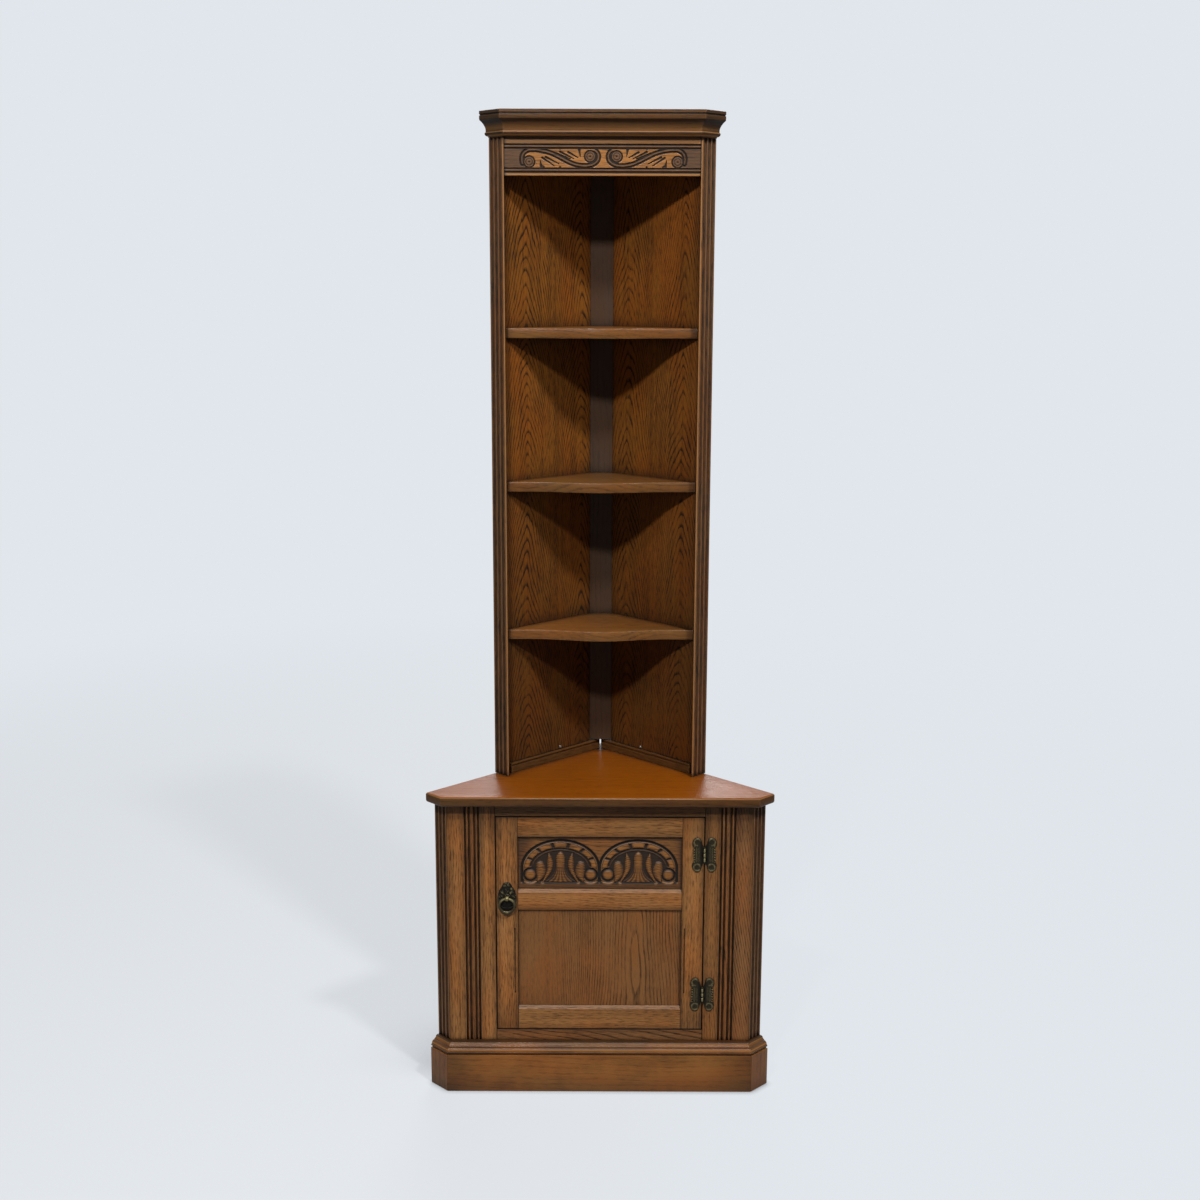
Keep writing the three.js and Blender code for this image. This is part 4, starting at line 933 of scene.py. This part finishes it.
def swept_faces(turns, count, flipped=False):
    """Faces of a closed sweep of closed sections, whose points run section by section."""
    number = np.arange(turns * count).reshape(turns, count)
    following, after = np.roll(number, -1, 0), np.roll(number, -1, 1)
    corners = [number, following, np.roll(following, -1, 1), after]
    if flipped:
        corners[1:] = corners[:0:-1]
    return np.stack(corners, axis=-1).reshape(-1, 4).tolist()


def revolved(name, profile, middle):
    """A closed ring swept around an upright axis. The profile is a closed loop of (radius, height)."""
    turns = np.linspace(0, math.tau, ROUND_STEPS, endpoint=False)
    points = [
        (middle[0] + radius * math.cos(turn), middle[1] + radius * math.sin(turn), height)
        for turn in turns for radius, height in profile
    ]
    # Painted highlight along the front of each knuckle, and painted shade behind it
    painted_front_highlight = np.repeat(0.9 * np.clip(-np.sin(turns), 0, 1) ** 4, len(profile))
    values = {"painted_highlight": painted_front_highlight, "stain": 0.95 - painted_front_highlight}
    return made_mesh(name, points, swept_faces(ROUND_STEPS, len(profile)), values, 50)


def join(first, others):
    """Makes the meshes further parts of the first piece."""
    for mesh in others:
        extra = placed(mesh.name, mesh)
        bpy.context.view_layer.objects.active = first
        for each in bpy.context.selected_objects:
            each.select_set(False)
        first.select_set(True)
        extra.select_set(True)
        bpy.ops.object.join()


def leaf_height(out, up):
    """Height in millimetres of the cast pattern: out from the pin, and up from the middle."""
    level = np.abs(up)
    distance = np.hypot(out - EYE[0], level - EYE[1])
    angle = np.arctan2(level - EYE[1], out - EYE[0])
    opening = smooth(np.cos(angle - EYE_OPENING), 0.55, 0.95) * (up > 0)
    ring = bell(distance - 6.5, 1.9) * (1 - opening) * (0.86 + 0.14 * np.cos(angle * 3 + 1.0))
    ball = bell(np.hypot(out - CURL_BALL[0], level - CURL_BALL[1]), 2.4, 4) * (up > 0)
    lobe = np.maximum(ring, ball)
    teeth = (0.5 + 0.5 * np.cos(math.tau * up / KNOB_PITCH)) * smooth(out, 17.6, 18.8)
    ridge = 0.75 * bell(out - 15.4, 1.2)
    swell = 0.55 * bell(out - 11.0, 3.6, 4) * (0.75 + 0.25 * np.cos(math.tau * (out + 0.8 * level) / 3.6))
    waist = np.maximum(np.maximum(0.95 * teeth, ridge), swell)
    share = smooth(level, 13.0, 17.5)
    return 1.25 * (waist * (1 - share) + lobe * share)


def hinge_leaf_piece(node, body, side, knuckles):
    low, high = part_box(node)
    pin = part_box(node.replace("door_leaf", "pin").replace("frame_leaf", "pin"))
    pin_x = (pin[0].x + pin[1].x) / 2 / MM
    pin_y = (pin[0].y + pin[1].y) / 2
    middle = (low.z + high.z) / 2 / MM
    half = (high.z - low.z) / 2 / MM
    share = np.linspace(-1, 1, LEAF_ROWS)[:, None]
    rise = 0.5 + 0.5 * np.abs(share)
    inner = np.interp(rise, *zip(*LOBE_INNER))
    teeth = 0.83 + 0.12 * np.cos(math.tau * share * half / KNOB_PITCH)
    outer = np.where(rise < 0.7, teeth, np.interp(rise, *zip(*LOBE_OUTER)))
    column = np.linspace(0, 1, LEAF_COLUMNS)[None, :]
    reach = LEAF_OUTER - LEAF_INNER
    out = LEAF_INNER + reach * (inner + (outer - inner) * column)
    up = share * half + np.zeros(out.shape)
    margin = np.minimum(column, 1 - column) * (outer - inner) * reach
    margin = np.minimum(margin, (1 - np.abs(share)) * half)
    pattern = leaf_height(out, up)
    height = LEAF_PLATE * smooth(margin, -0.3, 0.5) + pattern * smooth(margin, 0.0, 1.6)
    stain = 0.84 - 0.74 * smooth(pattern, 0.3, 1.1) * smooth(margin, 0.0, 0.4)
    # Painted shade beside the knuckles: darker close to the pin
    stain = stain + (0.97 - stain) * (1 - smooth(out, 6.0, 9.5))
    if side < 0:
        out, up, height, stain = (grid[:, ::-1] for grid in (out, up, height, stain))
    casting = pin_x + side * out, middle + up, height
    piece = relief(node + "_casting", *casting, high.y, high.y, {"stain": stain})
    parts = []
    for index in knuckles:
        start = middle - 1.5 * KNUCKLE_LENGTH + index * KNUCKLE_LENGTH + KNUCKLE_GAP / 2
        end = start + KNUCKLE_LENGTH - KNUCKLE_GAP
        eased = KNUCKLE_RADIUS - KNUCKLE_EASE
        profile = [
            (KNUCKLE_BORE, start), (eased, start), (KNUCKLE_RADIUS, start + KNUCKLE_EASE),
            (KNUCKLE_RADIUS, end - KNUCKLE_EASE), (eased, end), (KNUCKLE_BORE, end),
        ]
        profile = [(radius * MM, level * MM) for radius, level in profile]
        parts.append(revolved(f"{node}_knuckle_{index}", profile, (pin_x * MM, pin_y)))
        parts.append(tab(f"{node}_tab_{index}", pin_x, side, start, end, high.y))
    join(piece, parts)
    return settle(piece, cast_brass, "antique_brass", body, node)


def tab(name, pin_x, side, start, end, back):
    """The short strip between a knuckle and its leaf, with its front edges eased."""
    front, eased = back - LEAF_PLATE * MM, back - (LEAF_PLATE - TAB_EASE) * MM
    section = [
        (back, start), (back, end), (eased, end), (front, end - TAB_EASE), (front, start + TAB_EASE),
        (eased, start),
    ]
    points = [((pin_x + side * x) * MM, y, z * MM) for x in TAB_REACH for y, z in section]
    count = len(section)
    sides = [(i, (i + 1) % count, count + (i + 1) % count, count + i) for i in range(count)]
    faces = [*sides, tuple(range(count))[::-1], tuple(range(count, 2 * count))]
    if side < 0:
        faces = [face[::-1] for face in faces]
    return made_mesh(name, points, faces, {"stain": np.full(len(points), 0.7)})


# Ring pull: a leaf-shaped backplate, and a ring that thickens towards its foot

PLATE_OUTLINE = [
    (0.0, 0.0), (0.03, 0.16), (0.1, 0.3), (0.2, 0.43), (0.32, 0.48), (0.42, 0.5), (0.52, 0.5), (0.62, 0.47),
    (0.68, 0.43), (0.74, 0.42), (0.8, 0.35), (0.85, 0.29), (0.9, 0.25), (0.95, 0.2), (0.985, 0.14),
    (1.0, 0.06),
]
PLATE_BASE = 0.9
PLATE_ROWS = 140
PLATE_COLUMNS = 81
PIVOT_DROP = 2.0
PETALS = 9
RING_WIDTH = 1.05
RING_STEPS = 64
WIRE_STEPS = 18
# Painted highlights on the cast pattern: across, height above the plate's lowest point, and strength
PAINTED_HIGHLIGHT_SPOTS = ((8.4, 53.5, 0.9), (6.9, 45.7, 0.7), (-8.8, 46.2, 0.5), (2.0, 61.3, 0.4), (-5.5, 59.5, 0.4))


def backplate_piece():
    low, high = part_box("pull_backplate")
    ring_low, ring_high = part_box("pull_ring")
    middle = (low.x + high.x) / 2 / MM
    width = (high.x - low.x) / MM
    tall = (high.z - low.z) / MM
    pivot = ring_high.z / MM - PIVOT_DROP
    share = np.linspace(0, 1, PLATE_ROWS)[:, None]
    half = np.maximum(np.interp(share, *zip(*PLATE_OUTLINE)) * width, 0.3)
    column = np.linspace(-1, 1, PLATE_COLUMNS)[None, :]
    x = half * column
    z = low.z / MM + share * tall + np.zeros(x.shape)
    margin = np.minimum((1 - np.abs(column)) * half, np.minimum(share, 1 - share) * tall)
    distance = np.hypot(x, z - pivot)
    angle = np.arctan2(x, z - pivot)
    petal = np.abs(np.cos(angle * PETALS / 2)) ** 0.8
    pattern = petal * smooth(distance, 6.0, 9.0) * (1 - 0.75 * bell(distance - 19.5, 1.4))
    vein = bell(x, 0.8) * smooth(z - pivot, 8.0, 12.0)
    collar = bell(distance - 5.5, 1.0)
    pattern = np.maximum(np.maximum(pattern * (1 - 0.6 * vein), collar), 0.1)
    height = PLATE_BASE * smooth(margin, -0.3, 0.6) + 1.2 * pattern * smooth(margin, 0.0, 2.2)
    flecks = 0.5 + 0.5 * np.cos(x * 1.3 + 0.7) * np.cos(z * 0.9 - 0.4 * x)
    stain = 0.98 - 0.8 * smooth(pattern, 0.5, 1.0) * smooth(margin, 0.0, 1.2) * smooth(flecks, 0.35, 0.9)
    edging = smooth(margin, 0.2, 0.8) * smooth(-margin, -2.6, -1.6) * smooth(-share, -0.62, -0.4)
    stain = np.minimum(stain, 1.0 - 0.5 * edging)
    within = np.hypot(x, z - (ring_low.z + ring_high.z) / 2 / MM)
    stain = np.maximum(stain, 0.99 * smooth(-within, -15.0, -12.5))
    # Painted highlights
    painted_highlight = np.zeros(x.shape)
    for spot_x, spot_z, strength in PAINTED_HIGHLIGHT_SPOTS:
        spot = bell(np.hypot(x - spot_x, z - low.z / MM - spot_z), 1.5)
        painted_highlight = np.maximum(painted_highlight, strength * spot)
    values = {"stain": stain, "painted_highlight": painted_highlight}
    piece = relief("pull_backplate_casting", middle + x, z, height, high.y, high.y, values)
    return settle(piece, cast_brass, "antique_brass", "door", "pull_backplate")


def ring_piece():
    low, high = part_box("pull_ring")
    centre = (low + high) / 2
    wire = (high.y - low.y) / 2
    radius = (high.z - low.z) / 2 - wire
    points, stains, painted_highlight = [], [], []
    for step in range(RING_STEPS):
        turn = math.tau * step / RING_STEPS
        foot = 0.5 - 0.5 * math.cos(turn)
        leafy = bell(turn - math.pi, 0.4)
        thick = wire * (1.0 + 0.25 * foot) * (1 + 0.2 * leafy * (0.7 + 0.3 * math.cos(turn * 24)))
        for corner in range(WIRE_STEPS):
            roll = math.tau * corner / WIRE_STEPS
            reach = radius - wire * 0.06 + thick * math.cos(roll)
            points.append((
                centre.x + RING_WIDTH * reach * math.sin(turn),
                centre.y + min(thick, wire) * math.sin(roll),
                centre.z + reach * math.cos(turn),
            ))
            # Darker towards the foot and lighter on its leaves; painted highlight on the upper arcs
            stains.append(0.35 + 0.45 * foot - 0.5 * leafy)
            painted_highlight.append(0.55 * bell(foot - 0.1, 0.12))
    faces = swept_faces(RING_STEPS, WIRE_STEPS, flipped=True)
    mesh = made_mesh("pull_ring_casting", points, faces, {"stain": stains, "painted_highlight": painted_highlight}, 180)
    return settle(placed(mesh.name, mesh), cast_brass, "antique_brass", "ring", "pull_ring")


frieze_piece()
carved_panel_piece()
for level in ("upper", "lower"):
    hinge_leaf_piece(f"hinge_{level}_frame_leaf", "cabinet", 1, (0, 2))
    hinge_leaf_piece(f"hinge_{level}_door_leaf", "door", -1, (1,))
backplate_piece()
ring_piece()


# Floor, light and camera

BACKGROUND = linear(225, 230, 236)
BOUNCE = linear(150, 148, 145)
FLOOR_WHITE = linear(240, 242, 244)
GLOW_LEFT = 0.72
GLOW_RIGHT = 0.94
WORLD_LIGHT = 0.1
FRONT_GLOSS = 0.22
# Reach of the painted contact shadow on the floor, and reach and depth of the painted shade beside the
# cupboard's left side
PAINTED_CONTACT_SHADOW_REACH = 0.014
SHADE_REACH = 0.3
SHADE_DEPTH = 0.62
FLOOR_HALF = 40.0
FLOOR_GAP = 0.0005
NEAR_FLOOR = 1.5
FAR_FLOOR = 4.5
GLOSS_START = 0.9
GLOSS_END = 1.8

# Lamps: place, target, size and power
LAMPS = (
    ("key_right", (1.9, -2.9, 4.9), (0, 0, 0.9), 0.5, 158),
    ("key_left", (-0.9, -3.2, 3.72), (0, 0, 1.1), 0.3, 101),
    ("rear_fill", (0.0, 3.6, 3.0), (0, 0, 0.9), 2.0, 60),
)


def seen_shares(shader, openness):
    """How much of the pale background a ray sees: all of it, or in gloss only as much as is open there."""
    path = shader.add("ShaderNodeLightPath").outputs
    full = shader.math("MAXIMUM", path["Is Camera Ray"], path["Is Transmission Ray"])
    gloss = shader.math("MULTIPLY_ADD", openness, 1.0 - FRONT_GLOSS, FRONT_GLOSS)
    gloss = shader.times(path["Is Glossy Ray"], gloss)
    return shader.math("MAXIMUM", full, gloss), shader.math("MAXIMUM", full, path["Is Glossy Ray"])


def floor_material():
    shader = Shader(bpy.data.materials.new("pale_floor"))
    place = shader.place()
    split = shader.split(place)
    across, depth = split["X"], split["Y"]
    distance = shader.length(place)
    beside = shader.range(across, -0.2, 0.3, GLOW_LEFT, GLOW_RIGHT)
    near = shader.range(distance, NEAR_FLOOR, FAR_FLOOR, beside, 1.0)
    close = shader.range(distance, GLOSS_END, GLOSS_START)
    level, seen = seen_shares(shader, shader.times(close, shader.range(depth, -0.6, 0.3)))
    # Painted contact shadow and painted shade on the floor by ambient occlusion, the shade only beside the
    # cupboard's left side
    painted_contact_shadow = shader.range(shader.cavity(PAINTED_CONTACT_SHADOW_REACH), 0.45, 0.98, 0.5, 1.0)
    shade = shader.range(shader.cavity(SHADE_REACH, 8), 0.98, 0.45, 0.0, SHADE_DEPTH)
    for value, *levels in ((across, -0.2, -0.32), (depth, -0.15, -0.05), (depth, 0.05, 0.3, 1.0, 0.3)):
        shade = shader.times(shade, shader.range(value, *levels))
    strength = shader.times(level, painted_contact_shadow)
    strength = shader.times(strength, shader.math("SUBTRACT", 1.0, shade))
    diffuse = shader.add("ShaderNodeBsdfDiffuse", {"Color": shader.mix(seen, BOUNCE, FLOOR_WHITE)})
    glow = shader.add("ShaderNodeEmission", {"Color": BACKGROUND, "Strength": strength})
    inputs = {0: shader.times(seen, near), 1: diffuse.outputs[0], 2: glow.outputs[0]}
    shader.add("ShaderNodeOutputMaterial", {"Surface": shader.add("ShaderNodeMixShader", inputs).outputs[0]})
    return shader.owner


def add_floor():
    signs = ((-1, -1), (1, -1), (1, 1), (-1, 1))
    corners = [(x * FLOOR_HALF, y * FLOOR_HALF, -FLOOR_GAP) for x, y in signs]
    mesh = made_mesh("floor", corners, [(0, 1, 2, 3)])
    mesh.materials.append(floor_material())
    placed("floor", mesh)


def add_world():
    world = bpy.data.worlds.new("studio")
    bpy.context.scene.world = world
    shader = Shader(world)
    depth = shader.split(shader.add("ShaderNodeTexCoord").outputs["Generated"])["Y"]
    level, _ = seen_shares(shader, shader.range(depth, 0.0, 0.6))
    strength = shader.math("MAXIMUM", level, WORLD_LIGHT)
    background = shader.add("ShaderNodeBackground", {"Color": BACKGROUND, "Strength": strength})
    shader.add("ShaderNodeOutputWorld", {0: background.outputs[0]})


def add_lamp(name, place, target, size, power):
    data = bpy.data.lights.new(name, "AREA")
    data.shape = "DISK"
    data.size = size
    data.energy = power
    lamp = placed(name, data)
    lamp.location = place
    lamp.rotation_euler = (Vector(target) - Vector(place)).to_track_quat("-Z", "Y").to_euler()


def add_camera():
    data = bpy.data.cameras.new("camera")
    data.lens = CAMERA_LENS
    data.sensor_width = SENSOR_WIDTH
    camera = placed("camera", data)
    turn = Matrix.Rotation(CAMERA_TILT, 4, "X") @ Matrix.Rotation(CAMERA_ROLL, 4, "Z")
    camera.matrix_world = Matrix.Translation(CAMERA_PLACE) @ turn
    bpy.context.scene.camera = camera


add_floor()
add_world()
for lamp in LAMPS:
    add_lamp(*lamp)
add_camera()
bpy.context.scene.view_settings.view_transform = "Standard"
